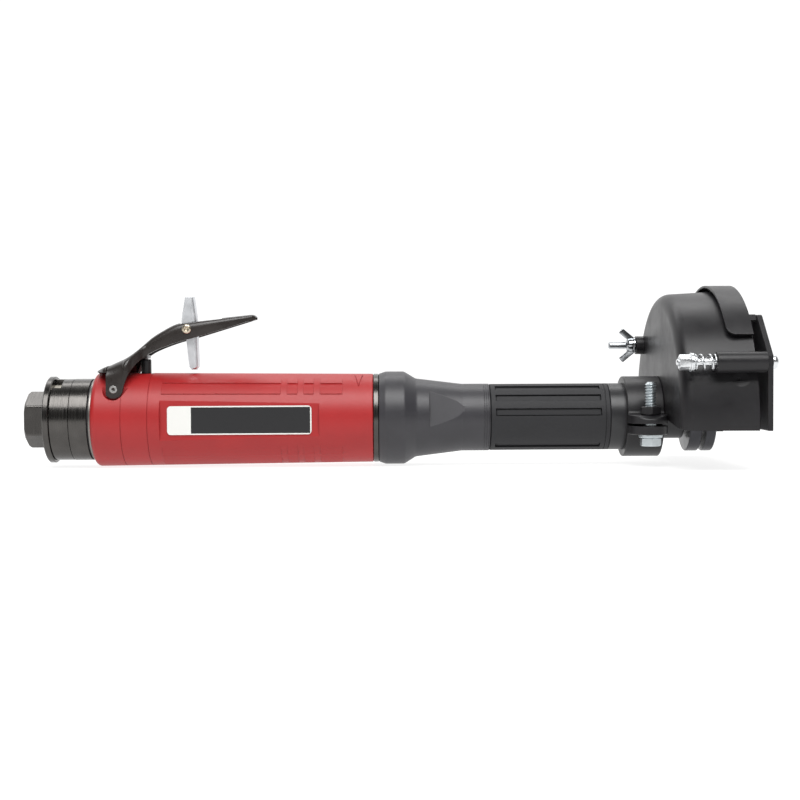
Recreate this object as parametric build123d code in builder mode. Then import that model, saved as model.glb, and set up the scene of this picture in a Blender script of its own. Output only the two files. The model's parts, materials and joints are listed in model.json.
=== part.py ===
from build123d import *
import os
from math import atan2, cos, degrees, hypot, pi, radians, sin, sqrt

# Extended straight grinder driven by compressed air, with a clamped-on wheel guard.
# Millimetres. +X runs along the tool from the air inlet to the wheel, +Z is up.
# The origin is on the tool axis, in the rear face of the inlet hex.
# The near side, which carries the data plate and the guard hinge, is -Y.

os.makedirs("parts", exist_ok=True)

# Clearances
fit_gap = 0.05
run_gap = 0.05
face_gap = 0.3
seat_gap = 0.02

# Air inlet, exhaust ring and backhead
inlet_hex_flats = 27.0
inlet_hex_length = 11.7
inlet_hex_chamfer = 1.3
inlet_hex_rounding = 1.2
inlet_flange_rise = 1.4
inlet_flange_length = 3.3
flange_chamfer = 0.5
inlet_thread_radius = 7.5
inlet_thread_depth = 16.0
inlet_bore = 6.0
inlet_shank_radius = 11.0
inlet_shank_length = 17.0
screen_wall = 0.6
screen_length = 10.0
screen_hole_radius = 0.7
screen_hole_spacing = 1.12
deflector_inset = 0.1
deflector_wall = 2.7
deflector_length = 10.65
deflector_seat_length = 3.8
notch_length = 5.2
notch_low = 52.6
notch_high = 81.6
backhead_rise = 1.3
backhead_length = 9.55
backhead_neck_radius = 12.5
backhead_spigot_length = 7.0
exhaust_hole_radius = 1.9
exhaust_hole_inset = 2.6
exhaust_hole_count = 10
seal_width = 1.0
seal_rise = 0.8
seal_rounding = 0.4

# Motor housing and grip sleeve
housing_radius = 21.0
housing_wall = 3.0
housing_rim_length = 1.2
bulkhead_length = 32.7
sleeve_length = 151.2
sleeve_rear_wall = 4.6
sleeve_front_wall = 3.2
sleeve_rear_rounding = 2.6
sleeve_front_rounding = 0.6
sleeve_seam_places = (16.4, 30.6)
sleeve_seam_width = 0.35
sleeve_seam_depth = 0.3
panel_rise = 0.5
panel_root = 1.0
panel_spans = ((37.9, 101.6), (105.1, 110.6), (114.0, 119.3), (122.8, 134.7))
panel_rows = ((33.8, 51.5), (51.5, 67.1), (-50.0, -32.3), (-71.9, -51.0))
plate_flat_wall = 1.85
plate_flat_start = 37.2
plate_flat_length = 85.25
plate_margin = 4.1
plate_height = 15.4
plate_thickness = 0.5
plate_corner = 2.0
mark_from_end = 7.7
mark_half_width = 2.2
mark_half_height = 5.6
mark_angle = 60.0
mark_rise = 0.6
lock_ring_length = 3.3

# Throttle lever on its pin, with the lock-off lever riveted through it
lever_pivot_from_sleeve = 12.2
lever_pivot_drop = 4.2
lever_pin_radius = 2.1
lever_pin_bore = 0.9
lever_wall = 1.8
lever_web = 1.8
lever_ear_clearance = 1.1
lever_ear_radius = 5.0
lever_handle_half_width = 8.5
lever_tip_half_width = 7.0
lever_tongue_half_width = 11.0
lever_tongue = (-8.1, 10.9)
lever_bridge = (8.0, 18.4)
lever_bend = (17.7, 27.1)
lever_crest = (32.5, 35.4)
lever_knee = (40.8, 36.6)
lever_tip = (72.6, 40.1)
lever_tip_round = (75.5, 39.1)
lever_nose = (75.1, 37.5)
lever_belly = (44.3, 28.3)
lever_throat = (18.3, 19.5)
lever_crotch = (7.9, 8.1)
lever_heel = (-5.0, 8.8)
lever_flare_start = 6.7
lever_flare_length = 8.5
lever_pad_height = 16.4
lever_pad_length = 7.0
lever_pad_thickness = 2.4
lock_rivet_offset = 37.9
lock_rivet_rise = 32.3
lock_rivet_radius = 2.0
lock_rivet_head_radius = 2.7
lock_rivet_head = 1.1
lock_half_width = 5.4
lock_wall = 1.3
lock_top = (-1.3, 3.5, 17.8)
lock_waist = (-3.1, 4.7)
lock_hip_front = (5.0, 5.3)
lock_hip_rear = (-0.7, -5.9)
lock_tip_front = (5.6, -19.4)
lock_tip_end = (3.2, -21.4)
lock_tip_rear = (0.8, -19.6)
lock_slot_rear = 4.6
lock_slot_front = 19.0
lock_spring_wire = 0.7
lock_spring_turns = 4
lock_spring_end_room = 1.05
ear_pocket_gap = 0.9
ear_pocket_front = 14.0
ear_pocket_rear = 8.4
ear_pocket_slant = 40.0

# Throttle valve under the lever
valve_offset = 14.5
plunger_radius = 2.75
plunger_dome = 0.8
plunger_collar_radius = 4.4
plunger_collar_rise = 3.6
port_radius = 3.2
port_height = 5.0
valve_seat_height = 5.0
valve_stem_radius = 1.5
valve_head_radius = 4.6
valve_head_height = 3.0
valve_bore = 6.0
valve_cap_height = 8.5
valve_spring_radius = 3.6
valve_spring_wire = 0.8
valve_spring_turns = 5
plunger_seal_height = 1.8
exhaust_port_radius = 3.0
exhaust_port_inset = 2.4
exhaust_port_dip = 39.8

# Vane motor
end_plate_length = 12.0
cylinder_wall = 3.4
cylinder_offset = 1.3
rotor_clearance = 1.7
rotor_rear_journal = 4.0
rotor_front_journal = 5.0
vane_count = 5
vane_thickness = 2.0
vane_height = 6.6
bearing_width = 8.0
rear_bearing_radius = 11.0
front_bearing_radius = 13.0
bearing_ball_count = 8
bearing_race_share = 0.3
bearing_ball_share = 0.26

# Nose and extension
nose_length = 60.0
nose_spigot_length = 15.2
nose_shoulder_rise = 4.4
nose_shoulder_start = 3.5
nose_shoulder_end = 13.6
nose_neck_start = 20.0
nose_neck_radius = 21.5
nose_taper_end = 45.2
nose_end_wall = 2.9
nose_cavity_radius = 14.0
nose_flat_depth = 0.05
nose_flat_start = 27.1
nose_flat_end = 46.3
nose_flat_tilt = 16.5
nose_flat_slope = 0.8
nose_rounding = 3.0
nose_ring_insets = (0.5, 1.7, 2.9)
nose_ring_width = 0.3
nose_ring_depth = 0.2
tube_radius = 15.5
tube_bore = 9.0
tube_overlap = 28.0
grip_gap = 0.3
grip_length = 65.0
grip_radius = 18.2
grip_slot_groups = 3
grip_slot_pitch = 26.7
grip_slot_angle = 37.0
grip_slot_width = 4.1
grip_slot_depth = 0.9
grip_slot_rear_margin = 2.8
grip_slot_front_margin = 5.1
grip_pad_margin = 0.5
grip_pad_drop = 0.7
grip_line_inset = 2.5
grip_line_width = 0.4
grip_line_depth = 0.35
collar_tube_length = 27.7
collar_tube_radius = 18.2

# Spindle and wheel flanges
spindle_radius = 6.0
spindle_thread_radius = 4.76
coupling_radius = 9.0
coupling_length = 24.0
coupling_overlap = 12.0
bearing_cap_radius = 12.2
bearing_cap_nose = 13.3
cap_spigot_length = 6.0
cap_spigot_wall = 2.2
hub_radius = 7.5
wheel_flange_radius = 19.2
wheel_flange_relief_radius = 13.0
wheel_flange_relief = 0.8
rear_flange_length = 6.7
rear_flange_gap = 1.7
wheel_gap = 2.1
front_flange_length = 5.4
spindle_nut_flats = 17.0
spindle_nut_length = 6.5
spindle_end = 1.4

# Guard drum, its collar and the clamp
guard_wall = 2.5
guard_front_radius = 68.7
guard_taper = 2.1
guard_length = 38.9
guard_rounding = 6.5
guard_cut_height = -4.9
guard_arch_half_width = 20.0
guard_hole_radius = 12.8
drum_hole_radius = 0.75
drum_hole_depth = 1.4
drum_hole_angle = 18.0
drum_hole_inset = 9.6
drum_dimple_radius = 20.0
drum_dimple_depth = 0.45
collar_radius = 22.0
collar_length = 19.8
collar_slit_height = -3.3
collar_slit = 1.4
ear_thickness = 4.5
ear_reach = 38.0
ear_corner = 9.0
ear_brow = 5.5
ear_drop = 2.2
collar_rounding = 2.2
collar_edge = 0.4
clamp_bolt_reach = 29.5
clamp_bolt_offset = 0.8
clamp_thread_radius = 3.0
clamp_thread_top = 19.4
clamp_head_flats = 10.0
clamp_head_height = 4.6
clamp_washer_radius = 6.4
clamp_washer_height = 1.6
clamp_nut_height = 4.4

# Cover hinge with its spring
hinge_tube_radius = 5.3
hinge_angle = 23.6
hinge_thread_radius = 2.0
hinge_tube_length = 25.5
hinge_tube_edge = 0.4
hinge_spring_length = 11.2
hinge_spring_radius = 3.9
hinge_spring_wire = 0.9
hinge_spring_turns = 4
hinge_washer_radius = 4.8
hinge_washer_length = 0.9
hinge_nut_flats = 7.0
hinge_nut_length = 5.0
hinge_nut_flange_radius = 4.9
hinge_nut_flange = 1.6
hinge_bolt_end = 1.2
hinge_head_radius = 3.7
hinge_head_length = 3.1

# Cover plate and rim strap
cover_gap = 3.2
cover_thickness = 2.8
cover_edge = 0.5
cover_top_corner = 2.5
cover_hinge_margin = 3.4
cover_top_drop = 14.6
cover_corner_width = 22.0
cover_corner_height = 21.0
strap_clearance = 1.5
strap_thickness = 1.3
strap_length = 13.6
strap_end_angle = 38.0
strap_corner = 5.0
strap_edge = 0.4
strap_lug_start = 46.0
strap_lug_angle = 3.5

# Latch stud with its wing nut
latch_inset = 8.6
latch_rise = 43.2
latch_stud_radius = 2.0
latch_stud_rear = 20.3
latch_head_radius = 3.6
latch_head_length = 2.4
latch_sleeve_radius = 3.3
latch_boss_radius = 5.2
latch_boss_length = 4.6
latch_slot_gap = 0.5
wing_body_radius = 4.2
wing_body_length = 5.0
wing_root_setback = 1.2
wing_root_rise = 2.8
wing_length = 9.1
wing_width = 3.1
wing_tilt = 39.6
wing_thickness = 1.7

# Stations along the tool axis
hex_end_x = inlet_hex_length
flange_end_x = hex_end_x + inlet_flange_length
deflector_end_x = flange_end_x + deflector_length
backhead_end_x = deflector_end_x + backhead_length
rim_start_x = backhead_end_x + seal_width
sleeve_start_x = rim_start_x + housing_rim_length
sleeve_end_x = sleeve_start_x + sleeve_length
nose_start_x = sleeve_end_x + lock_ring_length
nose_end_x = nose_start_x + nose_length
grip_start_x = nose_end_x + grip_gap
grip_end_x = grip_start_x + grip_length
tube_end_x = grip_end_x + collar_tube_length
guard_start_x = tube_end_x + face_gap
guard_end_x = guard_start_x + guard_length
bulkhead_start_x = backhead_end_x + backhead_spigot_length
motor_start_x = bulkhead_start_x + bulkhead_length
cylinder_start_x = motor_start_x + end_plate_length
motor_end_x = nose_start_x - nose_spigot_length
cylinder_end_x = motor_end_x - end_plate_length
tube_start_x = nose_end_x - tube_overlap
cover_start_x = guard_end_x + cover_gap
cover_end_x = cover_start_x + cover_thickness

# Radii that build up from the motor housing and the extension tube
motor_bore = housing_radius - housing_wall
cylinder_bore = motor_bore - cylinder_wall
rotor_radius = cylinder_bore - rotor_clearance
sleeve_rear_radius = housing_radius + sleeve_rear_wall
sleeve_front_radius = housing_radius + sleeve_front_wall
lock_ring_radius = sleeve_front_radius
seal_radius = housing_radius + seal_rise
backhead_radius = housing_radius + backhead_rise
deflector_radius = backhead_radius - deflector_inset
inlet_flange_radius = deflector_radius + inlet_flange_rise
nose_shoulder_radius = housing_radius + nose_shoulder_rise
nose_end_radius = tube_radius + nose_end_wall

# Levers, valve and hinge places that several pieces share
pivot_x = sleeve_start_x + lever_pivot_from_sleeve
pivot_z = housing_radius - lever_pivot_drop
ear_seat_half_width = sqrt(housing_radius ** 2 - (pivot_z - lever_ear_radius) ** 2)
lever_ear_half_width = ear_seat_half_width + lever_ear_clearance + lever_wall
rivet_x = pivot_x + lock_rivet_offset
rivet_z = pivot_z + lock_rivet_rise
valve_x = pivot_x + valve_offset
guard_rear_radius = guard_front_radius - guard_taper
hinge_reach = guard_front_radius + hinge_tube_radius + face_gap
hinge_y = -hinge_reach * cos(radians(hinge_angle))
hinge_z = hinge_reach * sin(radians(hinge_angle))
latch_from_axis = guard_front_radius - guard_wall - latch_inset
latch_y = latch_from_axis * cos(radians(latch_rise))
latch_z = latch_from_axis * sin(radians(latch_rise))
cover_half_width = cover_hinge_margin - hinge_y
cover_top_height = guard_front_radius - cover_top_drop
cover_shoulder_height = cover_top_height - cover_corner_height
cover_top_half_width = cover_half_width - cover_corner_width
strap_bore = guard_front_radius + strap_clearance
strap_radius = strap_bore + strap_thickness


def turned(*outline, mode=Mode.ADD):
    """Revolve a closed outline of (x, radius) points about the tool axis, into the current part."""
    with BuildSketch(Plane.XZ) as section:
        with BuildLine():
            Polyline(*outline, close=True)
        make_face()
    revolve(section.sketch, axis=Axis.X, mode=mode)


def tube(start_x, end_x, bore, radius, mode=Mode.ADD):
    """A plain tube on the tool axis."""
    turned((start_x, bore), (start_x, radius), (end_x, radius), (end_x, bore), mode=mode)


def rod(start_x, end_x, y, z, radius, mode=Mode.ADD):
    """A plain round bar along X at the given y and z."""
    with BuildSketch(Plane.YZ.offset(start_x)) as section:
        with Locations((y, z)):
            Circle(radius)
    extrude(section.sketch, amount=end_x - start_x, mode=mode)


def post(bottom_z, top_z, x, y, radius, mode=Mode.ADD):
    """A plain round bar along Z at the given x and y."""
    with BuildSketch(Plane.XY.offset(bottom_z)) as section:
        with Locations((x, y)):
            Circle(radius)
    extrude(section.sketch, amount=top_z - bottom_z, mode=mode)


def cross_bar(half_length, x, z, radius, mode=Mode.ADD):
    """A plain round bar along Y, centred on the tool's middle plane."""
    with BuildSketch(Plane.XZ) as section:
        with Locations((x, z)):
            Circle(radius)
    extrude(section.sketch, amount=half_length, both=True, mode=mode)


def near_angle(radius, angle):
    """The (y, z) of a point at an angle above the horizontal, on the near side."""
    return (-radius * cos(radians(angle)), radius * sin(radians(angle)))


def wedge(start_x, end_x, radius, from_angle, to_angle, mode=Mode.ADD):
    """A pie slice about the tool axis between two angles of the near side."""
    with BuildSketch(Plane.YZ.offset(start_x)) as section:
        with BuildLine():
            Polyline((0, 0), near_angle(radius, from_angle), near_angle(radius, to_angle), close=True)
        make_face()
    extrude(section.sketch, amount=end_x - start_x, mode=mode)


def rims(piece, radius):
    """The round edges of a piece that have the given radius."""
    circles = piece.edges().filter_by(GeomType.CIRCLE)
    return circles.filter_by(lambda edge: abs(edge.radius - radius) < seat_gap)


def coil_points(plane, radius, length, turns, steps_per_turn):
    """Points and unit tangents of a helix that climbs the plane's normal from its origin."""
    points = []
    for step in range(turns * steps_per_turn + 1):
        angle = 2 * pi * step / steps_per_turn
        place = (radius * cos(angle), radius * sin(angle), length * step / (turns * steps_per_turn))
        rise = length / (2 * pi * turns)
        slant = (plane.x_dir * -radius * sin(angle) + plane.y_dir * radius * cos(angle)
                 + plane.z_dir * rise)
        points.append((plane.from_local_coords(place), slant.normalized()))
    return points


def biarc_joint(start, start_slant, end, end_slant):
    """The point where two equal-handled tangent arcs from start to end meet, and the slant there."""
    chord = end - start
    slants = start_slant + end_slant
    a = slants.dot(slants) - 4
    b = -2 * chord.dot(slants)
    c = chord.dot(chord)
    handle = (-b - sqrt(b * b - 4 * a * c)) / (2 * a)
    before = start + start_slant * handle
    after = end - end_slant * handle
    return (before + after) * 0.5, (after - before).normalized()


def coil_gap(points, turns, wire):
    """The least distance between two stretches of a coil that are over half a turn apart."""
    per_turn = (len(points) - 1) // turns
    least = min(
        (points[i][0] - points[j][0]).length
        for i in range(len(points))
        for j in range(i + per_turn // 2, len(points))
    )
    return least - wire


def coil_spring(name, plane, radius, length, turns, wire):
    """Sweep a round wire along a helix of biarcs, a quarter turn each, into the current part."""
    points = coil_points(plane, radius, length, turns, 4)
    with BuildLine() as path:
        for (start, start_slant), (end, end_slant) in zip(points, points[1:]):
            joint, joint_slant = biarc_joint(start, start_slant, end, end_slant)
            TangentArc(start, joint, tangent=start_slant)
            TangentArc(joint, end, tangent=joint_slant)
    with BuildSketch(Plane(origin=points[0][0], z_dir=points[0][1])) as section:
        Circle(wire / 2)
    sweep(section.sketch, path=path.line)
    gap = coil_gap(coil_points(plane, radius, length, turns, 48), turns, wire)
    print(f"{name}: least gap between turns {gap:.2f} mm")


# Inlet bushing: hex for the hose wrench, flange, threaded shank into the backhead
shank_end_x = flange_end_x + inlet_shank_length
with BuildPart() as inlet_bushing:
    with BuildSketch(Plane.YZ):
        RegularPolygon(inlet_hex_flats / 2, 6, major_radius=False, rotation=90)
    extrude(amount=inlet_hex_length)
    fillet(inlet_bushing.edges().filter_by(Axis.X), inlet_hex_rounding)
    hex_corner = inlet_hex_flats / sqrt(3)
    turned((0, hex_corner - inlet_hex_chamfer), (0, hex_corner + inlet_hex_chamfer),
           (inlet_hex_chamfer, hex_corner + inlet_hex_chamfer), (inlet_hex_chamfer, hex_corner),
           mode=Mode.SUBTRACT)
    tube(hex_end_x, flange_end_x, 0, inlet_flange_radius)
    tube(flange_end_x, shank_end_x, 0, inlet_shank_radius)
    tube(0, inlet_thread_depth, 0, inlet_thread_radius, mode=Mode.SUBTRACT)
    tube(inlet_thread_depth, shank_end_x, 0, inlet_bore, mode=Mode.SUBTRACT)
    chamfer(rims(inlet_bushing, inlet_flange_radius), flange_chamfer)
inlet_bushing.part.label = "inlet_bushing"
export_step(inlet_bushing.part, "parts/inlet_bushing.step")

# Inlet screen: a drilled cup pressed into the bushing bore behind the inlet thread
screen_end_x = inlet_thread_depth + screen_length
screen_radius = inlet_bore - fit_gap
with BuildPart() as inlet_screen:
    tube(inlet_thread_depth, screen_end_x, screen_radius - screen_wall, screen_radius)
    tube(screen_end_x - screen_wall, screen_end_x, 0, screen_radius - screen_wall)
    with BuildSketch(Plane.YZ.offset(screen_end_x - screen_wall)):
        with HexLocations(screen_hole_spacing, 3, 3):
            Circle(screen_hole_radius)
    extrude(amount=screen_wall, mode=Mode.SUBTRACT)
inlet_screen.part.label = "inlet_screen"
export_step(inlet_screen.part, "parts/inlet_screen.step")

# Backhead: neck for the silencer, seat for the exhaust ring, band, spigot into the motor housing
deflector_bore = deflector_radius - deflector_wall
seat_start_x = deflector_end_x - deflector_seat_length
with BuildPart() as backhead:
    turned(
        (flange_end_x, inlet_shank_radius + fit_gap),
        (flange_end_x, backhead_neck_radius),
        (seat_start_x, backhead_neck_radius),
        (seat_start_x, deflector_bore - run_gap),
        (deflector_end_x, deflector_bore - run_gap),
        (deflector_end_x, backhead_radius),
        (backhead_end_x, backhead_radius),
        (backhead_end_x, motor_bore - fit_gap),
        (bulkhead_start_x, motor_bore - fit_gap),
        (bulkhead_start_x, inlet_bore),
        (shank_end_x, inlet_bore),
        (shank_end_x, inlet_shank_radius + fit_gap),
    )
    with BuildSketch(Plane.YZ.offset(seat_start_x)):
        with PolarLocations(motor_bore - exhaust_hole_inset, exhaust_hole_count):
            Circle(exhaust_hole_radius)
    extrude(amount=bulkhead_start_x - seat_start_x, mode=Mode.SUBTRACT)
backhead.part.label = "backhead"
export_step(backhead.part, "parts/backhead.step")

# Exhaust ring: turns on the backhead seat and lets the exhaust out through its notch
with BuildPart() as exhaust_deflector:
    tube(flange_end_x + face_gap, deflector_end_x - face_gap, deflector_bore, deflector_radius)
    wedge(flange_end_x, flange_end_x + notch_length, 2 * deflector_radius,
          notch_low, notch_high, mode=Mode.SUBTRACT)
exhaust_deflector.part.label = "exhaust_deflector"
export_step(exhaust_deflector.part, "parts/exhaust_deflector.step")

# Silencer: a porous ring on the backhead neck, under the exhaust ring
with BuildPart() as silencer:
    tube(flange_end_x + seat_gap, seat_start_x - seat_gap, backhead_neck_radius + fit_gap,
         deflector_bore - face_gap)
silencer.part.label = "silencer"
export_step(silencer.part, "parts/silencer.step")

# Body seal between the backhead band and the motor housing's rim
with BuildPart() as body_seal:
    tube(backhead_end_x + seat_gap, rim_start_x - seat_gap, motor_bore + fit_gap, seal_radius)
    fillet(rims(body_seal, seal_radius), seal_rounding)
body_seal.part.label = "body_seal"
export_step(body_seal.part, "parts/body_seal.step")

# Motor housing: rear socket with a rim, bulkhead with the throttle valve, long motor bore
valve_seat_z = valve_seat_height
port_top_z = valve_seat_z + port_height
exhaust_port_reach = motor_bore - exhaust_port_inset
exhaust_port_y = exhaust_port_reach * cos(radians(exhaust_port_dip))
exhaust_port_z = -exhaust_port_reach * sin(radians(exhaust_port_dip))
with BuildPart() as motor_housing:
    tube(rim_start_x, nose_start_x, 0, housing_radius)
    tube(rim_start_x, sleeve_start_x, 0, backhead_radius)
    tube(rim_start_x, bulkhead_start_x, 0, motor_bore, mode=Mode.SUBTRACT)
    tube(motor_start_x, nose_start_x, 0, motor_bore, mode=Mode.SUBTRACT)
    tube(bulkhead_start_x, valve_x, 0, inlet_bore - run_gap, mode=Mode.SUBTRACT)
    post(-housing_radius, valve_seat_z, valve_x, 0, valve_bore, mode=Mode.SUBTRACT)
    post(valve_seat_z, port_top_z, valve_x, 0, port_radius, mode=Mode.SUBTRACT)
    post(port_top_z, housing_radius, valve_x, 0, plunger_collar_radius + fit_gap, mode=Mode.SUBTRACT)
    rod(valve_x, motor_start_x, 0, (valve_seat_z + port_top_z) / 2, port_height / 2 - run_gap,
        mode=Mode.SUBTRACT)
    for side in (-1, 1):
        rod(bulkhead_start_x, motor_start_x, side * exhaust_port_y, exhaust_port_z,
            exhaust_port_radius, mode=Mode.SUBTRACT)
    cross_bar(housing_radius, pivot_x, pivot_z, lever_pin_radius + fit_gap, mode=Mode.SUBTRACT)
motor_housing.part.label = "motor_housing"
export_step(motor_housing.part, "parts/motor_housing.step")


def sleeve_radius(x):
    """The grip sleeve's outer radius: it tapers evenly from rear to front."""
    share = (x - sleeve_start_x) / sleeve_length
    return sleeve_rear_radius + (sleeve_front_radius - sleeve_rear_radius) * share


def grip_panel(start_x, end_x, low, high):
    """A raised panel between two near-side angles: proud at its lower edge, level at its upper edge."""
    ends = []
    for x in (start_x, end_x):
        base = sleeve_radius(x)
        proud = near_angle(base + panel_rise, low)
        middle = near_angle(base + panel_rise / 2, (low + high) / 2)
        level = near_angle(base - seat_gap, high)
        with BuildSketch(Plane.YZ.offset(x)) as section:
            with BuildLine():
                ThreePointArc(proud, middle, level)
                Polyline(level, near_angle(base - panel_root, high),
                         near_angle(base - panel_root, low), proud)
            make_face()
        ends.append(section.sketch)
    loft(ends, ruled=True)


# Raised grip panels, alike on both sides of the sleeve
with BuildPart() as grip_panels:
    for span_start, span_end in panel_spans:
        for low, high in panel_rows:
            grip_panel(sleeve_start_x + span_start, sleeve_start_x + span_end, low, high)
            grip_panel(sleeve_start_x + span_start, sleeve_start_x + span_end, 180 - low, 180 - high)

# Raised pointer on the sleeve near its front end
mark_x = sleeve_end_x - mark_from_end
with BuildPart() as sleeve_mark:
    mark_plane = Plane(origin=(mark_x, 0, 0), x_dir=(1, 0, 0), z_dir=(0, *near_angle(1, mark_angle)))
    with BuildSketch(mark_plane):
        with BuildLine():
            Polyline((0, -mark_half_height), (mark_half_width, mark_half_height),
                     (-mark_half_width, mark_half_height), close=True)
        make_face()
    extrude(amount=2 * sleeve_rear_radius)
    tube(mark_x - mark_half_width, mark_x + mark_half_width, housing_radius + panel_root,
         sleeve_radius(mark_x) + mark_rise, mode=Mode.INTERSECT)

# Grip sleeve: moulded tube with pockets for the lever ears and a flat for the data plate
pocket_floor = lever_ear_half_width - lever_wall - face_gap
plate_flat = housing_radius + plate_flat_wall
plate_flat_start_x = sleeve_start_x + plate_flat_start
plate_flat_end_x = plate_flat_start_x + plate_flat_length
with BuildPart() as grip_sleeve:
    turned((sleeve_start_x, 0), (sleeve_start_x, sleeve_rear_radius),
           (sleeve_end_x, sleeve_front_radius), (sleeve_end_x, 0))
    end_rims = grip_sleeve.edges().filter_by(GeomType.CIRCLE).sort_by(Axis.X)
    fillet(end_rims[0], sleeve_rear_rounding)
    fillet(end_rims[-1], sleeve_front_rounding)
    add(grip_panels.part)
    add(sleeve_mark.part)
    tube(sleeve_start_x, sleeve_end_x, 0, housing_radius + fit_gap, mode=Mode.SUBTRACT)
    for place in sleeve_seam_places:
        seam_x = sleeve_start_x + place
        seam_floor = sleeve_radius(seam_x) - sleeve_seam_depth
        tube(seam_x, seam_x + sleeve_seam_width, seam_floor, sleeve_rear_radius + face_gap,
             mode=Mode.SUBTRACT)
    for side in (-1, 1):
        with BuildSketch(Plane.XZ.offset(-side * plate_flat)):
            with BuildLine():
                Polyline((plate_flat_start_x, -housing_radius), (plate_flat_end_x, -housing_radius),
                         (plate_flat_end_x, housing_radius), (plate_flat_start_x, housing_radius),
                         close=True)
            make_face()
        extrude(amount=-side * sleeve_rear_radius, mode=Mode.SUBTRACT)
    pocket_reach = lever_ear_radius + ear_pocket_gap
    for side in (-1, 1):
        with BuildSketch(Plane.XZ.offset(-side * pocket_floor)):
            with Locations((pivot_x, pivot_z)):
                Circle(pocket_reach)
            with BuildLine():
                Polyline((pivot_x - pocket_reach, pivot_z),
                         (pivot_x + pocket_reach * cos(radians(ear_pocket_slant)),
                          pivot_z - pocket_reach * sin(radians(ear_pocket_slant))),
                         (pivot_x + ear_pocket_front, sleeve_rear_radius),
                         (pivot_x - ear_pocket_rear, sleeve_rear_radius), close=True)
            make_face()
        extrude(amount=-side * sleeve_rear_radius, mode=Mode.SUBTRACT)
    cross_bar(sleeve_rear_radius, pivot_x, pivot_z, lever_pin_radius + face_gap, mode=Mode.SUBTRACT)
    post(0, sleeve_rear_radius, valve_x, 0, plunger_collar_radius + face_gap, mode=Mode.SUBTRACT)
grip_sleeve.part.label = "grip_sleeve"
export_step(grip_sleeve.part, "parts/grip_sleeve.step")

# Data plate: a blank plate on the sleeve's flat
with BuildPart() as data_plate:
    with BuildSketch(Plane.XZ.offset(plate_flat + seat_gap)):
        with Locations(((plate_flat_start_x + plate_flat_end_x) / 2, 0)):
            RectangleRounded(plate_flat_length - 2 * plate_margin, plate_height, plate_corner)
    extrude(amount=plate_thickness)
data_plate.part.label = "data_plate"
export_step(data_plate.part, "parts/data_plate.step")

# Lock ring: clamps the sleeve on the motor housing
with BuildPart() as lock_ring:
    tube(sleeve_end_x + seat_gap, nose_start_x - seat_gap, housing_radius + fit_gap, lock_ring_radius)
    chamfer(rims(lock_ring, lock_ring_radius), flange_chamfer)
lock_ring.part.label = "lock_ring"
export_step(lock_ring.part, "parts/lock_ring.step")

# Lever pin: a roll pin through the housing and both lever ears
with BuildPart() as lever_pin:
    cross_bar(lever_ear_half_width + seat_gap, pivot_x, pivot_z, lever_pin_radius)
    cross_bar(lever_ear_half_width + seat_gap, pivot_x, pivot_z, lever_pin_bore, mode=Mode.SUBTRACT)
lever_pin.part.label = "lever_pin"
export_step(lever_pin.part, "parts/lever_pin.step")


def from_pivot(offset, drop=0):
    """The (x, z) of a lever point that is given from the pivot, lowered by a drop."""
    return (pivot_x + offset[0], pivot_z + offset[1] - drop)


def lever_top(drop):
    """Draw the lever's top edge from its rear tongue to its tip, lowered by a drop."""
    knee = from_pivot(lever_knee, drop)
    Spline(from_pivot(lever_tongue, drop), from_pivot(lever_bridge, drop), from_pivot(lever_bend, drop),
           from_pivot(lever_crest, drop), knee, tangents=((2, 1), (10, 1)))
    Line(knee, from_pivot(lever_tip, drop))


def lever_plan(inset):
    """The lever seen from above, as a face: wide fork at the pin, narrow handle."""
    half = [
        (from_pivot(lever_tongue)[0] - lever_wall + inset, lever_tongue_half_width - inset),
        (from_pivot(lever_heel)[0], lever_ear_half_width - inset),
        (pivot_x + lever_flare_start, lever_ear_half_width - inset),
        (pivot_x + lever_flare_start + lever_flare_length, lever_handle_half_width - inset),
        (from_pivot(lever_belly)[0], lever_handle_half_width - inset),
        (from_pivot(lever_tip_round)[0] + run_gap - inset, lever_tip_half_width - inset),
    ]
    with BuildSketch(Plane.XY) as plan:
        with BuildLine():
            Polyline(*half, *[(x, -y) for x, y in reversed(half)], close=True)
        make_face()
    return plan.sketch


# Room inside the lever, open at the bottom
lever_top_z = 2 * from_pivot(lever_tip)[1]
with BuildPart() as lever_room:
    with BuildSketch(Plane.XZ):
        with BuildLine():
            lever_top(lever_web)
            rear = from_pivot(lever_tongue, lever_web)
            tip = from_pivot(lever_tip, lever_web)
            Polyline(tip, (tip[0], 0), (rear[0] - lever_wall, 0), (rear[0] - lever_wall, rear[1]), rear)
        make_face()
    extrude(amount=lever_ear_half_width, both=True)
    extrude(lever_plan(lever_wall), amount=lever_top_z, mode=Mode.INTERSECT)

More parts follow.
